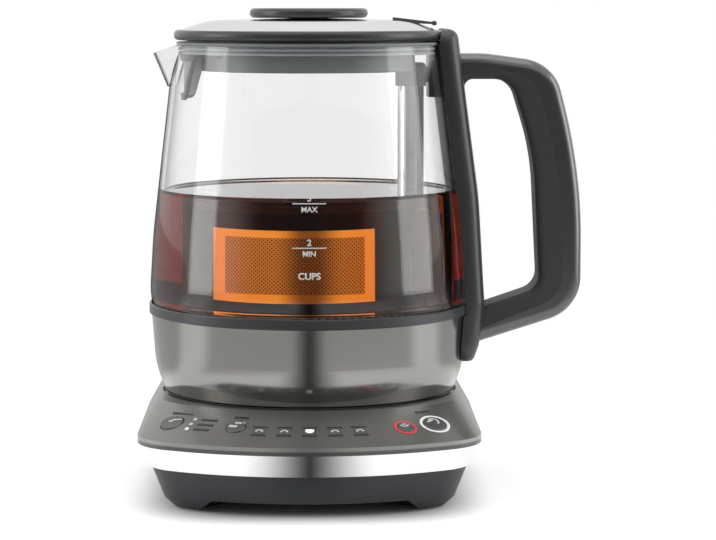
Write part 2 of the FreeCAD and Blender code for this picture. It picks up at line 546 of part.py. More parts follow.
# ---------------------------------------------------------------- expressions
def spelled(expression):
    """An expression of plain size names as FreeCAD reads it, with following sizes worked in."""
    while FOLLOWING_NAME.search(expression):
        expression = FOLLOWING_NAME.sub(lambda found: FOLLOWS[found.group(0)], expression)
    return SIZE_NAME.sub(r"Sizes.\1", expression)


def number(expression):
    return float(sheet.evalExpression(spelled(expression)))


def bind(thing, prop, expression):
    thing.setExpression(prop, spelled(expression))


def count(name):
    return int(round(number(name)))


# ---------------------------------------------------------------- sketches
def new_body(name):
    return doc.addObject("PartDesign::Body", name)


def new_sketch(body, role, offset="0"):
    """A sketch on one of the body's own origin planes, moved along that plane's normal."""
    sketch = body.newObject("Sketcher::SketchObject", "Outline")
    plane = next(item for item in body.Origin.OriginFeatures if item.Role == role)
    sketch.AttachmentSupport = [(plane, "")]
    sketch.MapMode = "FlatFace"
    bind(sketch, "AttachmentOffset.Base.z", offset)
    return sketch


def measure(sketch, kind, expression, *where):
    """A driving dimension bound to the sheet."""
    index = sketch.addConstraint(Sketcher.Constraint(kind, *where, number(expression)))
    bind(sketch, f"Constraints[{index}]", expression)


def pin_point(sketch, item, end, across, up):
    measure(sketch, "DistanceX", across, -1, 1, item, end)
    measure(sketch, "DistanceY", up, -1, 1, item, end)


def arc_between(centre, radius, start, end):
    """The arc of less than half a turn, and the numbers of its ends at start and at end."""
    first = math.atan2(start.y - centre.y, start.x - centre.x)
    turn = (math.atan2(end.y - centre.y, end.x - centre.x) - first) % (2 * math.pi)
    circle = Part.Circle(centre, Vector(0, 0, 1), radius)
    if turn < math.pi:
        return Part.ArcOfCircle(circle, first, first + turn), 1, 2
    return Part.ArcOfCircle(circle, first + turn, first + 2 * math.pi), 2, 1


def outline(sketch, corners):
    """A closed outline of straight lines. Each corner is across, up and, if rounded, its radius."""
    points = [Vector(number(corner[0]), number(corner[1]), 0) for corner in corners]
    radii = [number(corner[2]) if len(corner) > 2 else 0 for corner in corners]
    total = len(corners)
    before, after, centres = [], [], []
    for index, (point, radius) in enumerate(zip(points, radii)):
        back = (points[index - 1] - point).normalize()
        ahead = (points[(index + 1) % total] - point).normalize()
        half = math.acos(max(-1.0, min(1.0, back.dot(ahead)))) / 2
        before.append(point + back * (radius / math.tan(half)))
        after.append(point + ahead * (radius / math.tan(half)))
        centres.append(point + (back + ahead).normalize() * (radius / math.sin(half)) if radius else point)
    lines = []
    for index in range(total):
        side = Part.LineSegment(after[index], before[(index + 1) % total])
        lines.append(sketch.addGeometry(side))
    for index, corner in enumerate(corners):
        arriving, leaving = lines[index - 1], lines[index]
        if not radii[index]:
            sketch.addConstraint(Sketcher.Constraint("Coincident", arriving, 2, leaving, 1))
            pin_point(sketch, leaving, 1, corner[0], corner[1])
            continue
        arc, near, far = arc_between(centres[index], radii[index], before[index], after[index])
        bend = sketch.addGeometry(arc)
        sketch.addConstraint(Sketcher.Constraint("Tangent", arriving, 2, bend, near))
        sketch.addConstraint(Sketcher.Constraint("Tangent", bend, far, leaving, 1))
        measure(sketch, "Radius", corner[2], bend)
        tip = sketch.addGeometry(Part.Point(points[index]), True)
        sketch.addConstraint(Sketcher.Constraint("PointOnObject", tip, 1, arriving))
        sketch.addConstraint(Sketcher.Constraint("PointOnObject", tip, 1, leaving))
        pin_point(sketch, tip, 1, corner[0], corner[1])


def plan_outline(sketch, half_width, front, back, front_arc, back_arc, front_corner, back_corner):
    """Two bowed ends, two straight sides and four rounded corners, alike left and right."""
    width, ahead, behind, bow_front, bow_back, corner_front, corner_back = (
        number(text) for text in (half_width, front, back, front_arc, back_arc, front_corner, back_corner))
    front_y = bow_front - ahead
    back_y = behind - bow_back
    near_y = front_y - math.sqrt((bow_front - corner_front) ** 2 - (width - corner_front) ** 2)
    far_y = back_y + math.sqrt((bow_back - corner_back) ** 2 - (width - corner_back) ** 2)
    lean_front = math.asin((width - corner_front) / (bow_front - corner_front))
    lean_back = math.asin((width - corner_back) / (bow_back - corner_back))
    right = math.pi / 2
    arcs = {
        "front": (0, front_y, bow_front, -right - lean_front, -right + lean_front),
        "front right": (width - corner_front, near_y, corner_front, -right + lean_front, 0),
        "back right": (width - corner_back, far_y, corner_back, 0, right - lean_back),
        "back": (0, back_y, bow_back, right - lean_back, right + lean_back),
        "back left": (corner_back - width, far_y, corner_back, right + lean_back, 2 * right),
        "front left": (corner_front - width, near_y, corner_front, 2 * right, 3 * right - lean_front),
    }
    items = {}
    for name, (x, y, radius, start, end) in arcs.items():
        circle = Part.Circle(Vector(x, y, 0), Vector(0, 0, 1), radius)
        items[name] = sketch.addGeometry(Part.ArcOfCircle(circle, start, end))
    items["right"] = sketch.addGeometry(Part.LineSegment(Vector(width, near_y, 0), Vector(width, far_y, 0)))
    items["left"] = sketch.addGeometry(Part.LineSegment(Vector(-width, far_y, 0), Vector(-width, near_y, 0)))
    round_trip = ["front", "front right", "right", "back right", "back", "back left", "left", "front left"]
    for here, there in zip(round_trip, round_trip[1:] + round_trip[:1]):
        sketch.addConstraint(Sketcher.Constraint("Tangent", items[here], 2, items[there], 1))
    for name, radius in (("front", front_arc), ("front right", front_corner), ("front left", front_corner),
                         ("back", back_arc), ("back right", back_corner), ("back left", back_corner)):
        measure(sketch, "Radius", radius, items[name])
    for name in ("left", "right"):
        sketch.addConstraint(Sketcher.Constraint("Vertical", items[name]))
    measure(sketch, "DistanceX", half_width, -1, 1, items["right"], 1)
    measure(sketch, "DistanceX", f"-({half_width})", -1, 1, items["left"], 1)
    pin_point(sketch, items["front"], 3, "0", f"{front_arc} - ({front})")
    pin_point(sketch, items["back"], 3, "0", f"{back} - ({back_arc})")


def base_outline(sketch, inset):
    """The base's plan, moved in from its lip all the way round."""
    plan_outline(sketch, *(f"{name} - ({inset})" for name in (
        "base_half_width", "base_front", "base_back", "front_arc_radius", "back_arc_radius",
        "front_corner_radius", "back_corner_radius")))


def matched_corner(corner, arc, half_run, end_run):
    """Corner radius that keeps a bowed end's corners on the same rays as the lip's."""
    share = f"((base_half_width - {corner}) / ({arc} - {corner}))"
    return (f"(base_half_width - ({half_run}) - {share} * ({arc} - ({end_run}))) / (1 - {share})")


def plateau_outline(sketch, grow_side="0", grow_front="0", grow_back="0"):
    """The plateau's plan. Its front bow has the lip's own centre, so the panel between is a cone."""
    side, front, back = (f"(side_run - ({grow_side}))", f"(panel_run - ({grow_front}))",
                         f"(back_run - ({grow_back}))")
    plan_outline(
        sketch, f"base_half_width - {side}", f"base_front - {front}", f"base_back - {back}",
        f"front_arc_radius - {front}", f"back_arc_radius - {back}",
        matched_corner("front_corner_radius", "front_arc_radius", side, front),
        matched_corner("back_corner_radius", "back_arc_radius", side, back))


# ---------------------------------------------------------------- solids
def lathe(name, corners):
    """A body turned about the upright axis from corners of radius, height and rounding."""
    body = new_body(name)
    sketch = new_sketch(body, "XZ_Plane")
    outline(sketch, corners)
    turned = body.newObject("PartDesign::Revolution", "Turned")
    turned.Profile = sketch
    turned.ReferenceAxis = (sketch, ["V_Axis"])
    turned.Angle = 360
    return body


def add_pad(body, sketch, length, middle=False):
    pad = body.newObject("PartDesign::Pad", "Pad")
    pad.Profile = sketch
    bind(pad, "Length", length)
    pad.Midplane = middle
    return pad


def slab(name, corners, half_width):
    """A body with an outline in the upright left-right plane, as wide in front as behind."""
    body = new_body(name)
    sketch = new_sketch(body, "XZ_Plane")
    outline(sketch, corners)
    add_pad(body, sketch, f"2 * ({half_width})", middle=True)
    return body


def loft(body, kind, sketches):
    blend = body.newObject(kind, "Blend")
    blend.Profile = sketches[0]
    blend.Sections = sketches[1:]
    blend.Ruled = True
    return blend


def housing_loft(body, kind, stations):
    """A loft of the base's plan, through pairs of height and inset."""
    sketches = []
    for height, inset in stations:
        sketch = new_sketch(body, "XY_Plane", height)
        base_outline(sketch, inset)
        sketches.append(sketch)
    return loft(body, kind, sketches)


def place(thing, x="0", y="0", z="0", turn="0", tilt="0"):
    """Tilted about X, turned about Z and moved, all from expressions."""
    bind(thing, "Placement",
         f"placement(vector({x}; {y}; {z}); rotationz({turn}) * rotationx({tilt}))")
    return thing


def rod(radius, length, x="0", y="0", z="0", turn="0", tilt="0"):
    cylinder = doc.addObject("Part::Cylinder", "Rod")
    bind(cylinder, "Radius", radius)
    bind(cylinder, "Height", length)
    return place(cylinder, x, y, z, turn, tilt)


def tube(outer, inner, length, **where):
    return cut(rod(outer, length, **where), rod(inner, length, **where))


def block(x_low, x_high, y_low, y_high, z_low, z_high):
    box = doc.addObject("Part::Box", "Block")
    bind(box, "Length", f"{x_high} - ({x_low})")
    bind(box, "Width", f"{y_high} - ({y_low})")
    bind(box, "Height", f"{z_high} - ({z_low})")
    return place(box, x_low, y_low, z_low)


def fuse(*shapes):
    joined = doc.addObject("Part::MultiFuse", "Joined")
    joined.Shapes = list(shapes)
    return joined


def group(*shapes):
    together = doc.addObject("Part::Compound", "Group")
    together.Links = list(shapes)
    return together


def cut(base, *tools):
    for tool in tools:
        less = doc.addObject("Part::Cut", "Less")
        less.Base = base
        less.Tool = tool
        base = less
    return base


def common(first, second):
    shared = doc.addObject("Part::Common", "Shared")
    shared.Base = first
    shared.Tool = second
    return shared


def node(name, thing, x="0", y="0", z="0", turn="0", tilt="0"):
    """Names a finished piece and stands it in the object's frame."""
    thing.Label = name
    place(thing, f"axis_x + ({x})", f"axis_y + ({y})", z, turn, tilt)
    NODES.append(thing)


# ---------------------------------------------------------------- power base
def inset_at(height):
    """Inset of the housing's outer face between its rounded lower edge and the polished strip."""
    return f"(skirt_inset - (skirt_inset - waist_inset) * (({height}) - heel_top) / (trim_low - heel_top))"


def inset_above(height):
    """Inset of the housing's outer face between the polished strip's lower edge and the lip."""
    return f"(lip_inset + (waist_inset - lip_inset) * (lip_underside - ({height})) / trim_height)"


def base_housing():
    body = new_body("HousingShell")
    face = (("skirt_clearance", "skirt_inset + skirt_heel_in"), ("heel_top", "skirt_inset"),
            ("trim_low", "waist_inset"), ("lip_underside", "lip_inset"))
    housing_loft(body, "PartDesign::AdditiveLoft", face)
    housing_loft(body, "PartDesign::SubtractiveLoft", [
        (height, f"{inset} + base_wall") for height, inset in face])
    ledge = new_body("Ledge")
    sketch = new_sketch(ledge, "XY_Plane", "plate_top")
    base_outline(sketch, inset_at("plate_top") + " + base_wall / 2")
    base_outline(sketch, inset_at("plate_top") + " + base_wall + ledge_width")
    add_pad(ledge, sketch, "ledge_thickness")
    arch = new_body("Arch")
    sketch = new_sketch(arch, "XZ_Plane", "plateau_front - base_wall")
    outline(sketch, [
        ("-(arch_half_width + arch_flare)", "-merge"), ("arch_half_width + arch_flare", "-merge"),
        ("arch_half_width", "arch_height", "arch_curve"), ("-arch_half_width", "arch_height", "arch_curve")])
    add_pad(arch, sketch, "base_front")
    hole = rod("inlet_radius + fit_gap", "base_back", y="base_back * 1.5", z="inlet_height", tilt="90")
    node("base_housing", cut(fuse(body, ledge), arch, hole))


def front_trim():
    body = new_body("Strip")
    low, high = "trim_low", "lip_underside - fit_gap"
    skin = "(trim_thickness + fit_gap)"
    housing_loft(body, "PartDesign::AdditiveLoft", (
        (low, f"waist_inset - {skin}"), (high, f"lip_inset - {skin}")))
    housing_loft(body, "PartDesign::SubtractiveLoft", (
        (low, "waist_inset - fit_gap"), (high, "lip_inset - fit_gap")))
    rear = block("-base_half_width", "base_half_width", "-trim_end", "base_back",
                 "0", "lip_underside")
    node("front_trim", cut(body, rear))


def panel_place(angle, down, depth="0", lean=None):
    """Place on the panel's cone: where it is, and the turn and tilt of its outward normal."""
    lean = lean or angle
    ring = f"(panel_arc + ({down}) * cos(panel_tilt))"
    return {
        "x": f"{ring} * sin({angle}) - ({depth}) * sin(panel_tilt) * sin({lean})",
        "y": f"front_arc_radius - base_front - {ring} * cos({angle})"
             f" + ({depth}) * sin(panel_tilt) * cos({lean})",
        "z": f"plateau - ({down}) * sin(panel_tilt) - ({depth}) * cos(panel_tilt)",
        "turn": lean,
        "tilt": "panel_tilt",
    }


# each button: its own sizes' name, the board it is on and whether a light ring surrounds it
BUTTONS = {
    "tea": ("left", False),
    "strength": ("left", False),
    "warm": ("right", True),
    "start": ("right", True),
}
BOARD_ANGLE = {"left": "((tea_angle + strength_angle) / 2)", "right": "((warm_angle + start_angle) / 2)"}
BOARD_DOWN = {"left": "((tea_down + strength_down) / 2)", "right": "((warm_down + start_down) / 2)"}


def button_place(name, depth="0"):
    side = BUTTONS[name][0]
    return panel_place(f"{name}_angle", f"{name}_down", depth, BOARD_ANGLE[side])


def button_drop(name):
    """How far the bowed panel has fallen, at the button, below the board's own middle."""
    side = BUTTONS[name][0]
    ring = f"(panel_arc + {name}_down * cos(panel_tilt))"
    return f"{ring} * (1 - cos({name}_angle - {BOARD_ANGLE[side]})) * sin(panel_tilt)"


def lamp_angle(index):
    return f"{index} * lamp_pitch - (lamp_count - 1) / 2 * lamp_pitch"


def lamp(clearance, top):
    """The five cup lamps and the tea list's lamps, as bars and rods square to the panel."""
    pieces = []
    depth = f"lamp_depth - ({top})"
    for index in range(count("lamp_count")):
        where = panel_place(lamp_angle(index), "lamp_down", depth)
        bar = doc.addObject("Part::Box", "Bar")
        bind(bar, "Length", f"lamp_length + 2 * ({clearance})")
        bind(bar, "Width", f"lamp_width + 2 * ({clearance})")
        bind(bar, "Height", "lamp_depth")
        pieces.append(place(bar, **shifted(
            where, f"-(lamp_length / 2 + {clearance})", f"lamp_width / 2 + {clearance}")))
    for index in range(count("list_count")):
        where = panel_place("list_angle", f"list_down + {index} * list_pitch", depth)
        pieces.append(rod(f"list_radius + {clearance}", "lamp_depth", **where))
    return pieces


def base_cover():
    body = new_body("CoverShell")
    sketches = []
    for height in ("lip_underside", "lip_top"):
        sketch = new_sketch(body, "XY_Plane", height)
        base_outline(sketch, "0")
        sketches.append(sketch)
    top = new_sketch(body, "XY_Plane", "plateau")
    plateau_outline(top)
    loft(body, "PartDesign::AdditiveLoft", sketches + [top])
    hollow = []
    for height in ("lip_underside", "lip_top"):
        sketch = new_sketch(body, "XY_Plane", height)
        base_outline(sketch, "lip_inset + base_wall")
        hollow.append(sketch)
    inner = new_sketch(body, "XY_Plane", "inner_roof")
    grow = "((cover_roof * {0} - base_wall * sqrt({0} ^ 2 + panel_rise ^ 2)) / panel_rise)"
    plateau_outline(inner, *(grow.format(run) for run in ("side_run", "panel_run", "back_run")))
    loft(body, "PartDesign::SubtractiveLoft", hollow + [inner])
    pillars = [rod("pillar_radius", "inner_roof + merge - plate_top", x, y, "plate_top")
               for x, y in screw_spots()]
    bosses = [board_boss(side, end) for side in ("left", "right") for end in (-1, 1)]
    dish = rod("seat_radius", "seat_depth", z="seat")
    hole = rod("tower_radius + fit_gap", "plateau")
    bores = [rod("screw_radius", "screw_length", x, y, "plate_height") for x, y in screw_spots()]
    openings = []
    for name, (side, lit) in BUTTONS.items():
        ring = "ring_light_width + fit_gap" if lit else "0"
        openings.append(rod(f"{name}_radius + button_gap + {ring}", "3 * base_wall",
                            **button_place(name, "1.5 * base_wall")))
    node("base_cover", cut(fuse(body, *pillars, *bosses), dish, hole, *bores, *openings,
                           *lamp("fit_gap", "merge")))


def screw_spots():
    for x in ("pillar_x", "-pillar_x"):
        for y in ("-pillar_front", "pillar_back"):
            yield x, y


def board_half_length(side):
    """Half length of a control board: to its buttons, and its margin beyond."""
    names = [name for name, (where, lit) in BUTTONS.items() if where == side]
    return (f"((panel_arc + {BOARD_DOWN[side]} * cos(panel_tilt))"
            f" * sin(({names[1]}_angle - {names[0]}_angle) / 2) + board_margin)")


def shifted(where, along="0", down="0"):
    """A place on the panel, moved along the board and down the slope, square to its normal."""
    turn = where["turn"]
    moved = dict(where)
    moved["x"] += f" + ({along}) * cos({turn}) + ({down}) * cos(panel_tilt) * sin({turn})"
    moved["y"] += f" + ({along}) * sin({turn}) - ({down}) * cos(panel_tilt) * cos({turn})"
    moved["z"] += f" - ({down}) * sin(panel_tilt)"
    return moved


def board_boss(side, end):
    """A boss between two buttons, above or below their line."""
    where = panel_place(BOARD_ANGLE[side], BOARD_DOWN[side], "board_depth")
    down = f"{end} * (board_half_height - boss_radius)"
    return rod("boss_radius", "board_depth - base_wall / 2", **shifted(where, down=down))


def control_board(side):
    board = doc.addObject("Part::Box", "Board")
    half = board_half_length(side)
    bind(board, "Length", f"2 * {half}")
    bind(board, "Width", "2 * board_half_height")
    bind(board, "Height", "board_thickness")
    where = panel_place(BOARD_ANGLE[side], BOARD_DOWN[side], "board_depth + board_thickness")
    return place(board, **shifted(where, f"-{half}", "board_half_height"))


def control_boards():
    node("switch_boards", group(control_board("left"), control_board("right")))
    switches = []
    for name in BUTTONS:
        where = button_place(name, f"board_depth - {button_drop(name)}")
        switch = doc.addObject("Part::Box", "Switch")
        for prop in ("Length", "Width"):
            bind(switch, prop, "switch_size")
        bind(switch, "Height", "switch_height")
        switches.append(place(switch, **shifted(where, "-switch_size / 2", "switch_size / 2")))
    node("tact_switches", group(*switches))


def lamp_pieces():
    node("indicator_lamps", group(*lamp("0", "lamp_proud")))
    rings = []
    for name, (side, lit) in BUTTONS.items():
        if lit:
            inner = f"{name}_radius + button_gap"
            rings.append(tube(f"{inner} + ring_light_width", inner, "base_wall + ring_light_proud",
                              **button_place(name, "base_wall")))
    node("button_light_rings", group(*rings))


def panel_buttons():
    for name in BUTTONS:
        cap = f"{name}_radius"
        shelf = "(base_wall + button_play)"
        end = "(board_depth - switch_height - button_travel - switch_gap)"
        body = lathe(f"{name}Button", [
            ("0", "button_proud"), (cap, "button_proud", "small_round"), (cap, f"-{shelf}"),
            (f"{cap} + button_flange", f"-{shelf}"),
            (f"{cap} + button_flange", f"-({shelf} + button_flange_thickness)"),
            ("stem_radius", f"-({shelf} + button_flange_thickness)"), ("stem_radius", f"-{end}"),
            ("0", f"-{end}")])
        node(f"{name}_button", body, **button_place(name))


def bottom_plate():
    body = new_body("Plate")
    sketch = new_sketch(body, "XY_Plane", "plate_height")
    base_outline(sketch, inset_at("plate_height") + " + base_wall + fit_gap")
    add_pad(body, sketch, "plate_thickness")
    parts, holes = [body], []
    for x, y in foot_spots():
        parts.append(rod("foot_radius + foot_wall", "plate_height - foot_proud", x, y, "foot_proud"))
        holes.append(rod("foot_radius", "plate_height", x, y))
    for x, y in screw_spots():
        holes.append(rod("screw_radius + fit_gap", "plate_top", x, y))
    spread = "(power_board_half - standoff_inset)"
    for x in (spread, f"-{spread}"):
        for y in (f"power_board_back - {spread}", f"power_board_back + {spread}"):
            parts.append(rod("standoff_radius", "plate_thickness / 2 + standoff_height", x, y,
                             "plate_height + plate_thickness / 2"))
    for index in range(count("vent_count")):
        y = f"({index} - (vent_count - 1) / 2) * vent_pitch - power_board_half / 2"
        holes.append(block("-vent_length / 2", "vent_length / 2", f"{y} - vent_width / 2",
                           f"{y} + vent_width / 2", "0", "plate_top + merge"))
    node("bottom_plate", cut(fuse(*parts), *holes))
    node("rubber_feet", group(*(rod("foot_radius", "plate_height", x, y) for x, y in foot_spots())))


def foot_spots():
    for x in ("foot_x", "-foot_x"):
        for y in ("-foot_front", "foot_back"):
            yield x, y


def base_screws():
    screws = []
    for x, y in screw_spots():
        screws.append(fuse(
            rod("screw_radius", "screw_length + merge", x, y, "plate_height - merge"),
            rod("screw_head_radius", "screw_head_height", x, y, "plate_height - screw_head_height")))
    node("base_screws", group(*screws))


def power_board():
    high = "(plate_top + standoff_height)"
    top = f"({high} + board_thickness)"
    node("power_board", group(block(
        "-power_board_half", "power_board_half", "power_board_back - power_board_half",
        "power_board_back + power_board_half", high, top)))
    left = "(relay_inset - power_board_half)"
    relay = block(left, f"{left} + relay_length",
                  "power_board_back - relay_width / 2", "power_board_back + relay_width / 2",
                  top, f"{top} + relay_height")
    can = rod("filter_radius", "filter_height", "power_board_half - filter_radius - filter_inset",
              "power_board_back - filter_inset", top)
    node("power_components", group(relay, can))


def cord_inlet():
    """Rubber bush in the back of the housing, turned about the upright axis and laid along Y."""
    face = f"(base_back - {inset_above('inlet_height + inlet_flange')})"
    body = lathe("Bush", [
        ("inlet_bore", "0"), ("inlet_radius", "0"), ("inlet_radius", "inlet_length"),
        ("inlet_flange", "inlet_length", "small_round"),
        ("inlet_flange", "inlet_length + inlet_flange_thickness", "small_round"),
        ("inlet_bore", "inlet_length + inlet_flange_thickness")])
    node("cord_inlet", body, y=f"{face} - inlet_length", z="inlet_height", tilt="-90")


def base_connector():
    bottom = "(inner_roof - tower_flange_thickness)"
    groove_low = "(tower_top - groove_depth)"
    profile = [
        ("pin_hole_radius", bottom), ("tower_flange_radius", bottom), ("tower_flange_radius", "inner_roof"),
        ("tower_radius", "inner_roof"), ("tower_radius", "tower_top", "connector_round")]
    for groove in ("outer_groove_radius", "inner_groove_radius"):
        profile += [(f"{groove} + groove_width", "tower_top"), (f"{groove} + groove_width", groove_low),
                    (groove, groove_low), (groove, "tower_top")]
    profile.append(("pin_hole_radius", "tower_top"))
    node("base_connector", lathe("Tower", profile))
    rings = [tube(f"{groove} + ring_thickness", groove, "ring_height", z=groove_low)
             for groove in ("outer_groove_radius", "inner_groove_radius")]
    node("contact_rings", group(*rings))


# ---------------------------------------------------------------- jug foot and heater
def jug_foot():
    foot, top = "shell_foot", "band_height"
    edge = "(shell_foot_radius - shell_turn_in)"
    shell = lathe("Shell", [
        (edge, foot), ("shell_foot_radius", foot, "shell_foot_curve"),
        ("shell_waist_radius", "shell_waist", "shell_waist_curve"), ("shell_top_radius", top),
        ("shell_top_radius - shell_wall", top),
        ("shell_waist_radius - shell_wall", "shell_waist", "shell_waist_curve - shell_wall"),
        ("shell_foot_radius - shell_wall", f"{foot} + shell_wall", "shell_foot_curve - shell_wall"),
        (edge, f"{foot} + shell_wall")])
    node("jug_shell", cut(shell, *handle_screw_rods("fit_gap")))
    low = f"({foot} + shell_wall)"
    hole = "(socket_radius + fit_gap)"
    node("jug_underside", lathe("Underside", [
        (hole, low), ("tread_inner", low), ("tread_inner", "seat"), ("tread_outer", "seat"),
        ("tread_outer", low), ("shell_foot_radius - shell_foot_curve", low),
        ("shell_foot_radius - shell_foot_curve", f"{low} + underside_thickness"),
        (hole, f"{low} + underside_thickness")]))
    wall = "(band_radius - band_wall)"
    collar, hem = "(shell_top_radius - shell_wall - collar_gap)", "(band_height - collar_depth)"
    node("jug_band", lathe("Band", [
        ("band_shelf_radius", "band_height"), (f"{collar} - collar_wall", "band_height"),
        (f"{collar} - collar_wall", hem), (collar, hem), (collar, "band_height"),
        ("band_radius", "band_height", "small_round"),
        ("band_radius", "band_height + band_tall", "small_round"),
        (wall, "band_height + band_tall"), (wall, "glass_foot"), ("band_shelf_radius", "glass_foot")]))


def heater():
    plate = rod("heater_radius", "heater_thickness", z="heater_low")
    holes = [rod(radius, "water_floor", x=x)
             for radius, x in (("shaft_radius + running_gap", "post_x"), ("probe_radius", "-probe_x"))]
    node("heater_plate", cut(plate, *holes))
    node("heat_spreader", rod("spreader_radius", "spreader_thickness"), z="heater_low - spreader_thickness")
    level = "(heater_low - spreader_thickness - element_radius)"
    ring = doc.addObject("Part::Torus", "Ring")
    bind(ring, "Radius1", "element_ring_radius")
    bind(ring, "Radius2", "element_radius")
    bind(ring, "Angle3", "360 - element_gap")
    place(ring, z=level, turn="element_gap / 2 - 90")
    tails = [rod("element_radius", "element_tail", f"element_ring_radius * cos({angle})",
                 f"element_ring_radius * sin({angle})", f"{level} - element_tail")
             for angle in ("(element_gap / 2 - 90)", "(-element_gap / 2 - 90)")]
    node("heating_element", fuse(ring, *tails))
    top = "(water_floor + plate_seal_lip)"
    node("plate_seal", lathe("PlateSeal", [
        ("heater_radius - plate_seal_lap", "water_floor"), ("heater_radius", "water_floor"),
        ("heater_radius", "heater_low"), ("glass_hole_radius", "heater_low"),
        ("glass_hole_radius", "heater_low + glass_wall"),
        ("glass_hole_radius + merge", "heater_low + glass_wall"),
        ("glass_hole_radius + merge", f"{top} + plate_seal_height", "small_round"),
        ("heater_radius", f"{top} + plate_seal_height", "small_round"),
        ("heater_radius - plate_seal_lap", top)]))
    node("temperature_probe", lathe("Probe", [
        ("0", "-probe_depth"), ("probe_radius", "-probe_depth"),
        ("probe_radius", "heater_thickness + probe_rise", "probe_round"),
        ("0", "heater_thickness + probe_rise")]),
        x="-probe_x", z="heater_low")


def jug_connector():
    low = "(shell_foot + shell_wall)"
    roof = "(tower_top + socket_clearance)"
    shelf = f"({low} + underside_thickness)"
    wide, flange_top = "(socket_radius + socket_wall)", f"{shelf} + underside_thickness"
    node("jug_connector", lathe("Socket", [
        ("socket_radius", shelf), (f"{wide} + socket_flange", shelf), (f"{wide} + socket_flange", flange_top),
        (wide, flange_top), (wide, "socket_top", "connector_round"), ("0", "socket_top"), ("0", roof),
        ("socket_radius", roof)]))
    prongs = [rod("centre_pin_radius", "prong_length", z=f"{roof} - prong_length")]
    for groove in ("outer_groove_radius", "inner_groove_radius"):
        ring = f"({groove} + (groove_width + ring_thickness) / 2)"
        for index in range(count("prong_count")):
            angle = f"({index} * 360 / prong_count)"
            prongs.append(rod("prong_radius", "prong_length", f"{ring} * cos({angle})",
                              f"{ring} * sin({angle})", f"{roof} - prong_length"))
    node("contact_prongs", group(*prongs))


# ---------------------------------------------------------------- glass
def glass_profile(inset, low, high):
    """Corners of the glass's face, from foot to mouth, moved in by an inset."""
    return [
        (f"glass_foot_radius - {inset}", low, f"glass_foot_curve - {inset}"),
        (f"glass_low_radius - {inset}", "glass_low_height", f"glass_low_curve - {inset}"),
        (f"glass_belly_radius - {inset}", "glass_belly_height", f"glass_belly_curve - {inset}"),
        (f"mouth_radius - {inset}", high)]


def spout_solid(wall, side_wall, nose_wall):
    """A lip that grows out of the wall towards the mouth, moved in by its walls."""
    body = new_body("Spout")
    stations = (
        ("spout_low_height", "wall_at_spout", "spout_low_half", "wall_at_spout + spout_start"),
        ("mouth_height", "mouth_radius", "spout_half", "spout_reach"))
    sketches = []
    for height, radius, half, reach in stations:
        side, nose_half = f"({half} - {side_wall})", f"(spout_tip_half - {nose_wall})"
        root = f"-(sqrt(({radius} - {wall}) ^ 2 - {side} ^ 2) - merge)"
        nose, bend = f"-({reach} - {wall})", f"spout_tip_curve - {wall}"
        sketch = new_sketch(body, "XY_Plane", height)
        outline(sketch, [
            (root, f"-{side}"), (root, side), (nose, nose_half, bend), (nose, f"-{nose_half}", bend)])
        sketches.append(sketch)
    loft(body, "PartDesign::AdditiveLoft", sketches)
    return body


def glass_jug():
    outer = lathe("GlassOuter", [("0", "glass_foot")] + glass_profile("0", "glass_foot", "mouth_height")
                  + [("0", "mouth_height")])
    inner = lathe("GlassInner", [("0", "glass_foot + glass_wall")]
                  + glass_profile("glass_wall", "glass_foot + glass_wall", "mouth_height")
                  + [("0", "mouth_height")])
    hole = rod("glass_hole_radius", "2 * glass_wall", z="glass_foot")
    start, end = "(mouth_radius - spout_fall_start)", "(spout_reach + merge)"
    dip = f"(mouth_height - spout_drop * ({end} - {start}) / (spout_reach - {start}))"
    slope = slab("SpoutSlope", [
        (f"-{start}", "mouth_height"), (f"-{start}", "mouth_height + merge"),
        (f"-{end}", "mouth_height + merge"), (f"-{end}", dip)], "spout_half")
    channel = spout_solid("glass_wall", "spout_side_wall", "spout_nose_wall")
    node("glass_jug", cut(fuse(outer, spout_solid("0", "0", "0")), inner, hole, channel, slope))


# ---------------------------------------------------------------- post and lift drive
def guide_post():
    flange = "(post_foot + foot_flange_height)"
    node("post_foot", lathe("PostFoot", [
        ("post_radius", "post_foot"), ("foot_flange_radius", "post_foot"),
        ("foot_flange_radius", "post_foot + foot_flange_edge"), ("post_radius + foot_flange_edge", flange),
        ("post_radius", flange)]),
        x="post_x")
    height = "post_top - post_foot"
    outer = rod("post_radius", height, z="post_foot")
    bore = rod("post_bore", height, z="post_foot")
    rib_half = "(post_key_width / 2 + post_wall)"
    rib = block(f"-{rib_half}", rib_half, "-post_radius", "-(post_bore - post_key_depth)",
                "post_foot", "post_top")
    groove = block("-post_key_width / 2", "post_key_width / 2", "-post_radius - merge",
                   "-(post_radius - post_key_depth)", "post_foot", "post_top")
    wall = fuse(cut(outer, bore), common(rib, rod("post_radius", height, z="post_foot")))
    node("guide_post", cut(wall, groove), x="post_x")
    socket = "(shaft_radius + running_gap)"
    node("post_cap", lathe("PostCap", [
        ("post_radius", "post_cap_low"), ("post_cap_radius", "post_cap_low", "small_round"),
        ("post_cap_radius", "post_cap_high", "post_cap_curve"), ("0", "post_cap_high"),
        ("0", "screw_top + running_gap"),
        (socket, "screw_top + running_gap"), (socket, "post_top"), ("post_radius", "post_top")]), x="post_x")


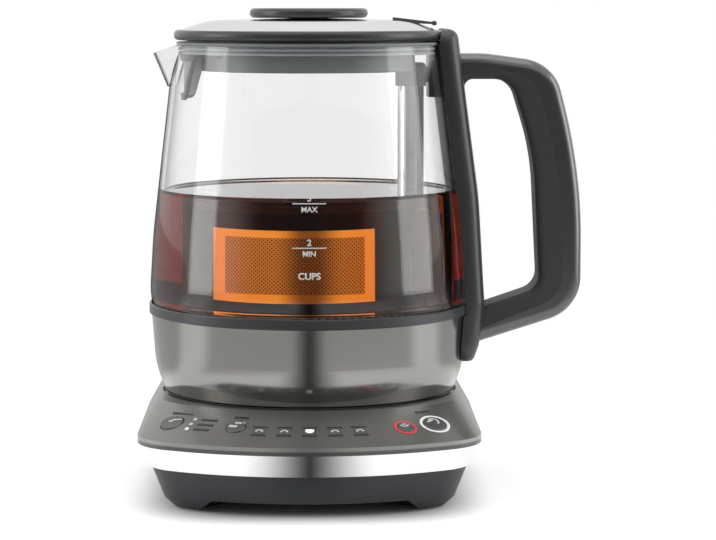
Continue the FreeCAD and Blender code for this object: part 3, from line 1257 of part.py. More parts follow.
def lift_drive():
    node("lead_screw", rod("shaft_radius", "screw_top - screw_foot"), x="post_x", z="screw_foot")
    low, high = "(motor_top + running_gap)", "(motor_top + running_gap + coupler_height)"
    node("shaft_coupler", lathe("Coupler", [
        ("motor_shaft_radius", low), ("coupler_radius", low, "small_round"),
        ("coupler_radius", high, "small_round"),
        ("shaft_radius", high), ("shaft_radius", "screw_foot"), ("motor_shaft_radius", "screw_foot")]),
        x="post_x")
    node("motor_shaft", rod("motor_shaft_radius", "motor_shaft_length + motor_shaft_sunk"),
         x="post_x", z="motor_top - motor_shaft_sunk")
    bore = "(motor_shaft_radius + running_gap)"
    floor = "(motor_top - motor_shaft_sunk - running_gap)"
    node("lift_motor", lathe("Motor", [
        ("0", "motor_top - motor_length"), ("motor_radius", "motor_top - motor_length", "small_round"),
        ("motor_radius", "motor_top"), (bore, "motor_top"), (bore, floor), ("0", floor)]), x="post_x")
    sleeve = tube("motor_radius + motor_mount_wall", "motor_radius", "motor_drop + motor_mount_grip")
    node("motor_mount", sleeve, x="post_x", z="motor_top - motor_mount_grip")
    carrier = tube("carrier_radius", "shaft_radius + running_gap", "carrier_height", z="carrier_low")
    slot_half = "(post_key_width / 2 + post_wall + running_gap)"
    slot = block(f"-{slot_half}", slot_half, "-post_radius", "-(post_bore - post_key_depth - running_gap)",
                 "carrier_low - merge", "carrier_low + carrier_height + merge")
    middle = "((carrier_radius + shaft_radius + running_gap) / 2)"
    start = "(carrier_low + (carrier_height - magnet_length) / 2)"
    magnets, pockets = [], []
    for turn in ("0", "90", "180"):
        spot = {"x": f"{middle} * cos({turn})", "y": f"{middle} * sin({turn})", "z": start}
        magnets.append(rod("magnet_radius", "magnet_length", **spot))
        pockets.append(rod("magnet_radius", "magnet_length", **spot))
    node("magnet_carrier", cut(carrier, slot, *pockets), x="post_x")
    node("carrier_magnets", group(*magnets), x="post_x")


# ---------------------------------------------------------------- basket
def sector(radius, low, high, margin="0"):
    """Wedges over the two windows, front and back, each widened by a margin along the wall."""
    wedges = []
    widen = f"(({margin}) / basket_radius * 180 / pi)"
    sweep = f"(window_handle_angle + window_spout_angle + 2 * {widen})"
    for turn in (f"-90 - window_spout_angle - {widen}", f"90 - window_handle_angle - {widen}"):
        wedge = rod(radius, f"{high} - ({low})", x="basket_x", z=low, turn=turn)
        bind(wedge, "Angle", sweep)
        wedges.append(wedge)
    return wedges


def basket():
    inside = "(basket_radius - basket_wall)"
    wall = tube("basket_radius", inside, "basket_high - basket_low", x="basket_x", z="basket_low")
    node("basket_shell", cut(wall, *sector("basket_radius + merge", "window_low", "window_high")))
    floor = rod(inside, "basket_wall", x="basket_x", z="basket_low")
    slots = []
    for index in range(count("drain_count")):
        turn = f"({index} * 360 / drain_count)"
        slot = block("0", "drain_length", "0", "drain_width", "0", "2 * basket_wall")
        place(slot, f"basket_x + drain_start * cos({turn}) + drain_width / 2 * sin({turn})",
              f"drain_start * sin({turn}) - drain_width / 2 * cos({turn})",
              "basket_low - basket_wall / 2", turn)
        slots.append(slot)
    node("basket_floor", cut(floor, *slots))
    low, high = "(window_low - screen_lap)", "(window_high + screen_lap)"
    screen = tube(inside, f"{inside} - screen_thickness", f"{high} - {low}", x="basket_x", z=low)
    node("basket_screens", common(screen, fuse(*sector("basket_radius", low, high, "screen_lap"))))


def basket_saddle():
    low, high = "saddle_low", "saddle_high"
    solid = block("basket_x + basket_radius - saddle_root", "post_x + saddle_reach", "-saddle_half_width",
                  "saddle_half_width", low, high)
    wall = rod("basket_radius", "basket_high", x="basket_x", z="basket_low - merge")
    bore = rod("post_radius + running_gap", "basket_high", x="post_x", z="basket_low - merge")
    beside = "((post_radius + running_gap + saddle_half_width) / 2)"
    start = "((saddle_low + saddle_high - slug_length) / 2)"
    slugs, pockets = [], []
    for side in ("1", "-1"):
        spot = {"x": "post_x", "y": f"{side} * {beside}", "z": start}
        slugs.append(rod("slug_radius", "slug_length", **spot))
        pockets.append(rod("slug_radius", "slug_length", **spot))
    node("basket_saddle", cut(solid, wall, bore, *pockets))
    node("saddle_slugs", group(*slugs))


def basket_lid():
    plug = "(basket_radius - basket_wall - running_gap)"
    roof, top = "(basket_high + basket_lid_roof)", "(basket_high + basket_lid_height)"
    node("basket_lid", lathe("BasketLid", [
        ("0", "basket_high"), (f"{plug} - basket_lid_plug_wall", "basket_high"),
        (f"{plug} - basket_lid_plug_wall", "basket_high - basket_lid_plug"),
        (plug, "basket_high - basket_lid_plug"),
        (plug, "basket_high"), ("basket_radius", "basket_high"), ("basket_radius", top, "small_round"),
        ("basket_radius - basket_lid_rim", top), ("basket_radius - basket_lid_rim - basket_lid_bevel", roof),
        ("pull_radius", roof), ("pull_radius", f"{top} + pull_height", "pull_round"),
        ("0", f"{top} + pull_height")]), x="basket_x")


# ---------------------------------------------------------------- bracket and handle
def rim_bracket():
    inset = "(glass_wall + bracket_gap)"
    inside = lathe("InsideGlass", [("0", "glass_foot + glass_wall")]
                   + glass_profile(inset, "glass_foot + glass_wall", "mouth_height")
                   + [(f"mouth_radius - {inset}", "strap_high"), ("0", "strap_high")])
    upright = block("bracket_x", "lid_radius", "-bracket_half_width", "bracket_half_width",
                    "bracket_low", "strap_high")
    arm = block("post_x", "bracket_x + merge", "-arm_half_width", "arm_half_width",
                "arm_low", "post_cap_high - arm_drop")
    cap = rod("post_cap_radius", "post_cap_high", x="post_x", z="0")
    node("rim_bracket", cut(fuse(common(upright, inside), arm, rim_strap()), cap))


def rim_strap():
    """The strap that lies over the glass rim and ends inside the handle column."""
    return block("bracket_x", "column_shoulder_x - strap_end", "-bracket_half_width", "bracket_half_width",
                 "strap_low", "strap_high")


def column_face(height):
    """Reach of the column's outer face between its shoulder and its middle."""
    return f"(column_shoulder_x + column_slope * (column_shoulder_height - ({height})))"


COLUMN = [
    ("column_inner_x", "column_high"), ("column_top_x", "column_high", "column_cap_curve"),
    ("column_shoulder_x", "column_shoulder_height", "column_shoulder_curve"),
    ("column_middle_x", "column_middle_height", "column_middle_curve"),
    ("column_foot_x", "column_foot_height", "column_foot_curve"),
    ("column_heel_x", "column_heel_height", "column_heel_curve"),
    ("column_end_x", "column_low", "column_end_curve"), ("column_inner_x", "column_low")]


def round_edges(body, plane_half, radius, chosen):
    """Rounds the edges that lie in the two side planes and whose middle the test chooses."""
    doc.recompute()
    side = number(plane_half)
    names = []
    for index, edge in enumerate(body.Shape.Edges, start=1):
        if all(abs(abs(vertex.Y) - side) < 0.001 for vertex in edge.Vertexes):
            middle = edge.valueAt((edge.FirstParameter + edge.LastParameter) / 2)
            level = abs(edge.Vertexes[0].Y - edge.Vertexes[-1].Y) < 0.001
            if level and chosen(middle):
                names.append(f"Edge{index}")
    sharp = body.Tip
    bend = body.newObject("PartDesign::Fillet", "Rounded")
    bend.Base = (sharp, names)
    bind(bend, "Radius", radius)
    return body


def handle_column():
    body = slab("Column", COLUMN, "column_half_width")
    inner = number("column_inner_x + column_plain")
    round_edges(body, "column_half_width", "column_edge", lambda spot: spot.x > inner)
    gap = "column_gap"
    band_low, band_high = f"(band_height - {gap})", f"(band_height + band_tall + {gap})"
    glass_lean = "((glass_low_radius - glass_foot_radius) / (glass_low_height - glass_foot))"
    jug = lathe("JugClearance", [
        ("0", "shell_foot"), (f"shell_waist_radius + {gap}", "shell_foot"),
        (f"shell_waist_radius + {gap}", "shell_waist"), (f"shell_top_radius + {gap}", band_low),
        (f"band_radius + {gap}", band_low), (f"band_radius + {gap}", band_high),
        (f"glass_low_radius + {gap} - {glass_lean} * (glass_low_height - {band_high})", band_high),
        (f"glass_low_radius + {gap}", "glass_low_height", "glass_low_curve"),
        (f"glass_belly_radius + {gap}", "glass_belly_height", "glass_belly_curve"),
        (f"mouth_radius + {gap}", "mouth_height"), ("0", "mouth_height")])
    lid_space = rod("lid_radius + 2 * column_gap", "column_high", z="mouth_height - merge")
    node("handle_column", cut(body, jug, lid_space, rim_strap(), *handle_screw_rods("0")))


def handle_screw_places():
    """Seats of the screws' heads inside the steel foot, from where they run out into the column."""
    seat = "(shell_top_radius - shell_wall - screw_head_height - handle_screw_inset)"
    for height in ("band_height - handle_screw_drop", "band_height - handle_screw_drop - handle_screw_pitch"):
        yield {"x": seat, "z": height, "turn": "90", "tilt": "90"}


def handle_screw_rods(clearance):
    return [rod(f"screw_radius + {clearance}", "handle_screw_length", **where)
            for where in handle_screw_places()]


def grip_root(height):
    """Corner where the grip's underside, or a line above it, ends inside the column."""
    fall = "(grip_low_height - grip_root_height) / (grip_reach - column_heel_x)"
    return ("column_heel_x - grip_sunk_arm", f"{height} - grip_sunk_arm * {fall}")


GRIP_FACE = [
    ("column_top_x - grip_sunk_arm", "grip_top_height"),
    ("grip_bend_x", "grip_top_height", "grip_bend_curve"),
    ("grip_corner_x", "grip_corner_height", "grip_corner_curve"),
    ("grip_reach", "grip_reach_height", "grip_side_curve"),
    ("grip_reach", "grip_low_height", "grip_low_curve"), grip_root("grip_root_height")]

GRIP_SEAM = [
    ("column_top_x - grip_sunk_arm", "grip_top_height - grip_skin_arm"),
    ("grip_bend_x", "grip_top_height - grip_skin_arm", "grip_bend_curve - grip_skin_arm"),
    ("grip_corner_x - grip_skin", "grip_corner_height - grip_skin_corner",
     "grip_corner_curve - grip_skin_arm"),
    ("grip_reach - grip_skin", "grip_reach_height", "grip_side_curve - grip_skin"),
    ("grip_reach - grip_skin", "grip_low_height + grip_skin_corner", "grip_low_curve - grip_skin_arm"),
    grip_root("grip_root_height + grip_skin_arm")]


def finger_gap():
    """Corners of the finger gap's edge, from the column's top round to its foot."""
    start = "(gap_top_height - 2 * gap_root_curve)"
    fall = "(gap_low_height - gap_root_height) / (gap_low_x - column_foot_x)"
    return [
        ("column_top_x - grip_sunk_arm", start), (column_face(start), start),
        (column_face("gap_top_height"), "gap_top_height", "gap_root_curve"),
        ("gap_corner_x", "gap_top_height", "gap_corner_curve"),
        ("gap_side_x", "gap_side_height", "gap_side_curve"), ("gap_low_x", "gap_low_height", "gap_low_curve"),
        ("column_foot_x - grip_sunk", f"gap_root_height - grip_sunk * {fall}")]


def nearer(first, second):
    """A test: is a point nearer to the first chain of corners than to the second?"""
    chains = []
    for corners in (first, second):
        points = [Vector(number(corner[0]), 0, number(corner[1])) for corner in corners]
        chains.append(Part.makePolygon(points))

    def test(spot):
        flat = Part.Vertex(spot.x, 0, spot.z)
        return flat.distToShape(chains[0])[0] < flat.distToShape(chains[1])[0]
    return test


def handle_grip():
    column = slab("ColumnBlock", COLUMN, "column_half_width + merge")
    gap = finger_gap()
    clear = number("column_top_x + grip_plain")
    on_face, on_gap = nearer(GRIP_FACE, GRIP_SEAM), nearer(gap[2:], GRIP_SEAM)
    cover = slab("Cover", GRIP_FACE + GRIP_SEAM[::-1], "grip_half_width")
    round_edges(cover, "grip_half_width", "grip_edge", lambda spot: spot.x > clear and on_face(spot))
    node("handle_cover", cut(cover, column))
    grip = slab("Grip", GRIP_SEAM + gap[::-1], "grip_half_width")
    round_edges(grip, "grip_half_width", "grip_inner_edge", lambda spot: spot.x > clear and on_gap(spot))
    node("handle_grip", cut(grip, column))


def handle_screws():
    heads = [rod("screw_head_radius", "screw_head_height", **where) for where in handle_screw_places()]
    node("handle_screws", group(*(fuse(*pair) for pair in zip(handle_screw_rods("0"), heads))))


# ---------------------------------------------------------------- lid
def lid_dome_face(drop):
    return [("lid_shoulder_radius", f"dome_top - lid_shoulder_drop - {drop}", f"lid_shoulder_curve - {drop}")]


def lid():
    node("lid_rim", lathe("LidRim", [
        ("skirt_radius", "rim_low"), ("lid_radius", "rim_low", "lid_rim_curve"),
        ("lid_radius", "rim_high", "lid_rim_curve"), ("skirt_radius", "rim_high")]))
    node("lid_top", lathe("LidTop", [
        ("knob_stem_radius", "dome_top"), *lid_dome_face("0"), ("lid_dome_radius", "rim_high"),
        ("lid_dome_radius - lid_lap", "rim_high"), *lid_dome_face("lid_sheet"),
        ("knob_stem_radius", "dome_top - lid_sheet")]))
    pan = "(rim_low + skirt_wall)"
    disc_low, disc_high = "(dome_top + knob_gap)", "(dome_top + knob_height)"
    node("lid_knob", lathe("Knob", [
        ("0", pan), ("knob_stem_radius", pan), ("knob_stem_radius", disc_low),
        ("knob_radius", disc_low, "knob_curve"), ("knob_radius", disc_high, "knob_curve"), ("0", disc_high)]))
    notch = block("post_x - post_cap_radius - notch_gap", "lid_radius + merge", "-skirt_notch", "skirt_notch",
                  "skirt_low_height - merge", "rim_low")
    step = "(skirt_step_height + skirt_wall)"
    skirt = lathe("Skirt", [
        ("0", "rim_low"), ("skirt_radius - skirt_wall", "rim_low"), ("skirt_radius - skirt_wall", step),
        ("skirt_low_radius - skirt_wall", step), ("skirt_low_radius - skirt_wall", "skirt_low_height"),
        ("skirt_low_radius", "skirt_low_height", "small_round"), ("skirt_low_radius", "skirt_step_height"),
        ("skirt_radius", "skirt_step_height"), ("skirt_radius", pan), ("0", pan)])
    node("lid_skirt", cut(skirt, notch))
    lip = "seal_lip"
    low = "(skirt_step_height + 2 * seal_gap)"
    flange = "(mouth_height + seal_gap)"
    ridges = []
    for index in range(2):
        base = f"({low} + {index} * 2 * {lip})"
        ridges += [("seal_radius", base), ("seal_radius", f"{base} + {lip}"),
                   ("seal_core_radius", f"{base} + {lip}"), ("seal_core_radius", f"{base} + 2 * {lip}")]
    seal = lathe("LidSeal", [
        ("skirt_radius", low), *ridges[:-1], ("seal_core_radius", flange), ("seal_flange_radius", flange),
        ("seal_flange_radius", f"{flange} + seal_flange_thickness"),
        ("skirt_radius", f"{flange} + seal_flange_thickness")])
    node("lid_seal", cut(seal, notch))
    filled = lathe("LidFilled", [
        ("0", "rim_low"), ("lid_dome_radius", "rim_low"), ("lid_dome_radius", "rim_high"),
        *lid_dome_face("0"), ("knob_stem_radius", "dome_top"), ("0", "dome_top")])
    tip = "(rim_high + tab_rise)"
    plate = slab("Tab", [
        ("tab_start", "dome_top - lid_shoulder_drop - merge"), ("tab_end", f"{tip} - tab_thickness"),
        ("tab_end", tip), ("tab_start", "dome_top + tab_thickness / 2")], "tab_half_width")
    node("lid_tab", cut(plate, filled))


def strainer_outline(name, inset):
    """The strainer's tapering outline, padded through the spout's side of the mouth."""
    body = new_body(name)
    sketch = new_sketch(body, "YZ_Plane", "-mouth_radius - merge")
    top = "(skirt_step_height + merge)" if inset == "0" else f"(skirt_step_height - {inset})"
    low, bend = f"strainer_low_height + {inset}", f"strainer_curve - {inset}"
    top_half, low_half = f"(strainer_top_half - {inset})", f"(strainer_low_half - {inset} / 2)"
    outline(sketch, [
        (f"-{top_half}", top), (top_half, top), (low_half, low, bend), (f"-{low_half}", low, bend)])
    add_pad(body, sketch, "mouth_radius - strainer_top_half")
    return body


def spout_strainer():
    inner = "(seal_radius - strainer_frame)"
    height = "skirt_step_height - strainer_low_height"
    wall = tube("seal_radius", inner, height, z="strainer_low_height")
    shelf = tube("seal_radius", "skirt_low_radius", "strainer_frame", z="skirt_step_height - strainer_frame")
    window = strainer_outline("Window", "strainer_border")
    clear = rod("seal_radius + merge", "skirt_step_height - strainer_frame - strainer_low_height",
                z="strainer_low_height")
    node("spout_strainer", cut(common(fuse(wall, shelf), strainer_outline("Strainer", "0")),
                               common(window, clear)))
    mesh = tube(inner, f"{inner} - screen_thickness", f"{height} - strainer_frame", z="strainer_low_height")
    node("strainer_mesh", common(mesh, strainer_outline("Mesh", "(strainer_border / 2)")))


def check_and_write():
    """Every object settled, every piece a valid solid; then one STEP file for each piece."""
    doc.recompute()
    for thing in doc.Objects:
        state = " ".join(thing.State)
        if "Invalid" in state or "Error" in state:
            raise RuntimeError(f"{thing.Label}: {state}")
    names = [thing.Label for thing in NODES]
    if len(set(names)) != len(names):
        raise RuntimeError("two pieces share a name")
    for thing in NODES:
        shape = thing.Shape
        if shape.isNull() or not shape.isValid() or not shape.Solids:
            raise RuntimeError(f"{thing.Label}: no valid solid")
    os.makedirs("parts", exist_ok=True)
    for thing in NODES:
        thing.Shape.exportStep(f"parts/{thing.Label}.step")
        print(f"{thing.Label}: {len(thing.Shape.Solids)} solid(s), {thing.Shape.Volume:.0f} mm3")


base_housing()
front_trim()
base_cover()
panel_buttons()
lamp_pieces()
control_boards()
bottom_plate()
base_screws()
power_board()
cord_inlet()
base_connector()
jug_foot()
heater()
jug_connector()
glass_jug()
guide_post()
lift_drive()
basket()
basket_saddle()
basket_lid()
rim_bracket()
handle_column()
handle_grip()
handle_screws()
lid()
spout_strainer()
check_and_write()
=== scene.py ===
"""Looks of the automatic tea maker: a material for every piece, the tea in the jug, the marks on the
glass and on the control panel, the bead on the lid's tab, the studio and the camera. Metres, in the
part's own frame: the jug's axis is upright, -Y is the front and +X the handle's side."""

import math

import bpy
import numpy as np
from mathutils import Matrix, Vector
from mathutils.bvhtree import BVHTree


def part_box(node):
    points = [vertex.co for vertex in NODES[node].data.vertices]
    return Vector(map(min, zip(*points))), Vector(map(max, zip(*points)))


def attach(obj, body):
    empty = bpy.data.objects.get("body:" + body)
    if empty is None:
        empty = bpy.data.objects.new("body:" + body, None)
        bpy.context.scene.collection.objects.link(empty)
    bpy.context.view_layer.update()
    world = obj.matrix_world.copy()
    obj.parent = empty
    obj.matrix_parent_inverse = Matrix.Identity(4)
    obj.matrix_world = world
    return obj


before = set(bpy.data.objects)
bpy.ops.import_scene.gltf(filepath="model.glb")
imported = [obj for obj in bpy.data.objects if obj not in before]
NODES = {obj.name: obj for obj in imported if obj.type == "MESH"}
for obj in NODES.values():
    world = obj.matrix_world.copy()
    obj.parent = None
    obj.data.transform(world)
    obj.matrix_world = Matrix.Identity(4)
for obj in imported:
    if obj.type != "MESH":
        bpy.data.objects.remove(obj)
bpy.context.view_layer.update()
MM = 0.001


# ------------------------------------------------------------------ places read from the frame
def middle(node):
    """Centre of a node's box."""
    low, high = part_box(node)
    return (low + high) / 2


JUG = middle("heater_plate")
BASKET = middle("basket_floor")
POST = middle("post_cap")
WATER_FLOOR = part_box("heater_plate")[1].z
TEA_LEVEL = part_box("basket_lid")[1].z + 0.4 * MM
COVER_LOW, COVER_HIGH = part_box("base_cover")
BASE = (COVER_LOW + COVER_HIGH) / 2
PLATEAU = COVER_HIGH.z
LIP_HEIGHT = 3.6 * MM
PANEL_RISE = 12.0 * MM
PANEL_RUN = 28.0 * MM
PANEL_TILT = math.atan2(PANEL_RISE, PANEL_RUN)
BOW_RADIUS = 125.0 * MM
BOW = Vector((JUG.x, COVER_LOW.y + BOW_RADIUS, 0))


def tree_of(node):
    """A node's triangles, ready for rays."""
    mesh = NODES[node].data
    faces = [tuple(face.vertices) for face in mesh.polygons]
    return BVHTree.FromPolygons([vertex.co for vertex in mesh.vertices], faces)


GLASS_TREE = tree_of("glass_jug")


def glass_inside(height):
    """Radius of the glass's inner face at a height, by a ray from the jug's axis to the back."""
    start = Vector((JUG.x, JUG.y, height))
    return GLASS_TREE.ray_cast(start, Vector((0, 1, 0)))[3]


def glass_outside(height):
    """Radius of the glass's outer face in front, at a height."""
    away = 0.2
    start = Vector((JUG.x, JUG.y - away, height))
    return away - GLASS_TREE.ray_cast(start, Vector((0, 1, 0)))[3]


# ------------------------------------------------------------------ shader arithmetic
class Link:
    """One output of a node. Arithmetic on it adds Math nodes."""

    def __init__(self, paint, socket):
        self.paint = paint
        self.socket = socket

    def math(self, operation, *others):
        inputs = dict(enumerate([self, *others]))
        return self.paint.add("ShaderNodeMath", {"operation": operation}, inputs)

    def __add__(self, other):
        return self.math("ADD", other)

    def __sub__(self, other):
        return self.math("SUBTRACT", other)

    def __rsub__(self, other):
        return self.paint.add("ShaderNodeMath", {"operation": "SUBTRACT"}, {0: other, 1: self})

    def __mul__(self, other):
        return self.math("MULTIPLY", other)

    def __truediv__(self, other):
        return self.math("DIVIDE", other)

    def __pow__(self, other):
        return self.math("POWER", other)

    __radd__ = __add__
    __rmul__ = __mul__

    def size(self):
        """Without its sign."""
        return self.math("ABSOLUTE")

    def part(self):
        """What is left past the whole number."""
        return self.math("FRACT")

    def either(self, other):
        """The larger of two."""
        return self.math("MAXIMUM", other)

    def above(self, low, high):
        """0 below low, 1 above high, smooth between."""
        return self.paint.add(
            "ShaderNodeMapRange", {"interpolation_type": "SMOOTHSTEP"},
            {"Value": self, "From Min": low, "From Max": high, "To Min": 0.0, "To Max": 1.0})

    def below(self, low, high):
        """1 below low, 0 above high, smooth between."""
        return 1.0 - self.above(low, high)

    def between(self, low, high, soft):
        """1 from low to high, 0 outside, with soft edges."""
        return self.above(low - soft, low + soft) * self.below(high - soft, high + soft)


class Paint:
    """The node tree of one material, or of the world."""

    def __init__(self, owner, end):
        self.owner = owner
        self.end = end
        owner.use_nodes = True
        self.tree = owner.node_tree
        self.tree.nodes.clear()

    def add(self, kind, settings=None, sockets=None, out=0):
        """Any node: its type, its settings, the values or links of its sockets, and the output wanted."""
        node = self.tree.nodes.new(kind)
        for name, value in (settings or {}).items():
            setattr(node, name, value)
        for key, value in (sockets or {}).items():
            if isinstance(value, Link):
                self.tree.links.new(value.socket, node.inputs[key])
            else:
                node.inputs[key].default_value = value
        return Link(self, node.outputs[out])

    def spot(self):
        """Place on the piece, in the part's own frame."""
        return self.add("ShaderNodeTexCoord", out="Object")

    def along(self, vector):
        """The three numbers of a vector."""
        outs = self.add("ShaderNodeSeparateXYZ", None, {0: vector}).socket.node.outputs
        return [Link(self, outs[index]) for index in range(3)]

    def vector(self, x, y, z):
        return self.add("ShaderNodeCombineXYZ", None, {0: x, 1: y, 2: z})

    def noise(self, vector, scale, detail, roughness=0.55):
        return self.add("ShaderNodeTexNoise", None, {
            "Vector": vector, "Scale": scale, "Detail": detail, "Roughness": roughness})

    def ray(self, kind):
        return self.add("ShaderNodeLightPath", out=kind)

    def backdrop_ray(self):
        """1 for rays that show the backdrop: straight ones, off gloss, and through glass."""
        return self.ray("Is Camera Ray").either(self.ray("Is Glossy Ray")).either(
            self.ray("Is Transmission Ray"))

    def mirrored(self):
        """1 once a ray has come off gloss."""
        return self.ray("Glossy Depth").above(0.0, 1.0)

    def edge(self):
        """0 where the surface is seen straight on, 1 where it is seen edge on."""
        return self.add("ShaderNodeLayerWeight", None, {"Blend": 0.5}, out="Facing")

    def blend(self, share, first, second):
        """Colour from first to second."""
        return self.add("ShaderNodeMix", {"data_type": "RGBA"}, {0: share, 6: first, 7: second}, out=2)

    def bump(self, height, depth, strength):
        return self.add("ShaderNodeBump", None, {
            "Height": height, "Distance": depth, "Strength": strength})

    def surface(self, **sockets):
        """Principled shader. An underscore in a name stands for the space in its socket's."""
        named = {key.replace("_", " "): value for key, value in sockets.items()}
        return self.add("ShaderNodeBsdfPrincipled", None, named)

    def clear(self, colour):
        return self.add("ShaderNodeBsdfTransparent", None, {"Color": colour})

    def mixed(self, share, first, second):
        """Shader from first to second."""
        return self.add("ShaderNodeMixShader", None, {0: share, 1: first, 2: second})

    def close(self, shader, volume=None):
        """Links the shader to the output and hands back the material or world."""
        node = self.tree.nodes.new(self.end)
        self.tree.links.new(shader.socket, node.inputs["Surface"])
        if volume:
            self.tree.links.new(volume.socket, node.inputs["Volume"])
        return self.owner


def paint(name):
    """A new, empty material."""
    return Paint(bpy.data.materials.new(name), "ShaderNodeOutputMaterial")


def grey(level):
    return (level, level, level, 1.0)


def shade(colour, factor):
    """A colour made darker or lighter."""
    return tuple(min(1.0, part * factor) for part in colour[:3]) + (1.0,)


def round_about(p, centre):
    """Angle in radians, radius and height of a point about an upright axis."""
    x, y, z = p.along(p.spot())
    x, y = x - centre.x, y - centre.y
    return x.math("ARCTAN2", y), (x * x + y * y).math("SQRT"), z


# ------------------------------------------------------------------ materials
def moulded(name, colour, roughness, grain, coat=0.0, metallic=0.0):
    """Moulded plastic: fine spark-eroded grain, faint flow marks in colour and gloss."""
    p = paint(name)
    spot = p.spot()
    flow = p.noise(spot, 30.0, 3.0)
    fine = p.noise(spot, 2600.0, 2.0)
    tint = p.blend(flow * 0.5 + fine * 0.5, shade(colour, 0.93), shade(colour, 1.05))
    return p.close(p.surface(
        Base_Color=tint, Roughness=roughness - 0.03 + flow * 0.04 + fine * 0.02, Metallic=metallic,
        Coat_Weight=coat, Coat_Roughness=0.1, Normal=p.bump(fine, grain * 0.02 * MM, 0.5)))


def cover_plastic():
    """Satin lacquered cover, with a painted highlight on the rolled edge of its lip and a painted shadow
    line below it.
    """
    p = paint("cover_lacquer")
    spot = p.spot()
    height = p.along(spot)[2]
    soft = 0.1 * MM
    lip_top = PLATEAU - PANEL_RISE
    # painted highlight along the rolled edge of the lip
    edge = height.between(lip_top - 0.45 * LIP_HEIGHT, lip_top, soft)
    # painted shadow line under the overhanging lip
    painted_lip_shadow = height.between(lip_top - 1.1 * LIP_HEIGHT, lip_top - 0.55 * LIP_HEIGHT, soft)
    flow = p.noise(spot, 26.0, 3.0)
    fleck = p.noise(spot, 3200.0, 2.0)
    tint = p.blend(flow * 0.4 + fleck * 0.6, (0.205, 0.202, 0.187, 1.0), (0.245, 0.241, 0.225, 1.0))
    # the painted highlight and the painted shadow line go into the colour
    tint = p.blend(edge * 0.7, tint, grey(0.42))
    tint = p.blend(painted_lip_shadow * 0.55, tint, grey(0.05))
    return p.close(p.surface(
        Base_Color=tint, Metallic=0.65, Roughness=0.3 + flow * 0.04 + fleck * 0.03, Coat_Weight=0.25,
        Coat_Roughness=0.12, Normal=p.bump(fleck, 0.006 * MM, 0.5)))


def brush_lines(p, angle, across):
    """Fine lines: noise drawn out along the turn and packed close across it."""
    return p.noise(p.vector(angle * 2.4, across * 6500.0, 0.0), 1.0, 4.0, 0.65)


def brushed(name, colour, roughness, way, grain=0.07, depth=0.4):
    """Brushed metal: its lines run round the jug, or as rings on flat discs."""
    p = paint(name)
    angle, radius, height = round_about(p, JUG)
    across = {"round": height, "rings": radius}[way]
    lines = brush_lines(p, angle, across)
    broad = p.noise(p.vector(angle * 1.1, across * 420.0, 0.0), 1.0, 3.0)
    mark = lines * 0.7 + broad * 0.3
    return p.close(p.surface(
        Base_Color=p.blend(mark, shade(colour, 1 - grain), shade(colour, 1 + grain)), Metallic=1.0,
        Roughness=roughness - 0.04 + mark * 0.08, Normal=p.bump(lines, 0.008 * MM, depth)))


def polished(name, colour, roughness=0.06):
    """Polished metal with the faintest buffing haze."""
    p = paint(name)
    spot = p.spot()
    haze = p.noise(spot, 60.0, 5.0, 0.65)
    fine = p.noise(spot, 2200.0, 2.0)
    return p.close(p.surface(
        Base_Color=p.blend(haze, shade(colour, 0.96), colour), Metallic=1.0,
        Roughness=roughness - 0.015 + haze * 0.03,
        Normal=p.bump(haze * 0.5 + fine * 0.5, 0.001 * MM, 0.2)))


def trim_strip():
    """Polished strip. Round the corners, where its bright facing ends, it is dark like the housing."""
    p = paint("front_strip")
    spot = p.spot()
    y = p.along(spot)[1]
    side = y.above(JUG.y - 61.5 * MM, JUG.y - 61.0 * MM)
    haze = p.noise(spot, 60.0, 5.0, 0.65)
    tint = p.blend(side, p.blend(haze, grey(0.9), grey(0.94)), grey(0.03))
    return p.close(p.surface(
        Base_Color=tint, Metallic=1.0, Roughness=0.05 + haze * 0.02 + side * 0.3,
        Normal=p.bump(haze, 0.001 * MM, 0.2)))


def rubbery(name, colour, roughness=0.75):
    """Rubber or silicone: dull, fine-grained and a little dusty."""
    p = paint(name)
    spot = p.spot()
    fine = p.noise(spot, 1500.0, 4.0, 0.7)
    dust = p.noise(spot, 130.0, 3.0)
    return p.close(p.surface(
        Base_Color=p.blend(dust * 0.6, colour, shade(colour, 1.3)),
        Roughness=roughness - 0.08 + fine * 0.16, Sheen_Weight=0.05,
        Normal=p.bump(fine, 0.03 * MM, 0.6)))


def clear_glass():
    """Glass with painted shade where it is seen edge on, that lets shadow rays through."""
    p = paint("clear_glass")
    edge = p.edge()
    streak = p.noise(p.spot(), 35.0, 2.0)
    body = p.blend(streak, (0.968, 0.971, 0.97, 1.0), (0.974, 0.977, 0.976, 1.0))
    glass = p.surface(
        Base_Color=body, Roughness=0.0, IOR=1.47, Transmission_Weight=1.0,
        Normal=p.bump(streak, 0.004 * MM, 0.1))
    # painted shade: a grey see-through layer where the glass is seen edge on
    glass = p.mixed((edge ** 8.0) * 2.5, glass, p.clear(grey(0.34)))
    return p.close(p.mixed(p.ray("Is Shadow Ray"), glass, p.clear((0.93, 0.94, 0.94, 1.0))))


def lid_dome():
    """Finely spun steel dome: white where it looks up, with painted shade along its outline."""
    p = paint("lid_steel")
    edge = p.edge()
    angle, radius = round_about(p, JUG)[:2]
    lines = brush_lines(p, angle, radius)
    tint = p.blend(lines, (0.76, 0.76, 0.75, 1.0), (0.82, 0.82, 0.81, 1.0))
    # painted shade: the colour darkens where the dome is seen edge on
    tint = p.blend(edge ** 6.0, tint, grey(0.09))
    return p.close(p.surface(
        Base_Color=tint, Metallic=1.0, Roughness=0.07 + lines * 0.05,
        Normal=p.bump(lines, 0.004 * MM, 0.2)))


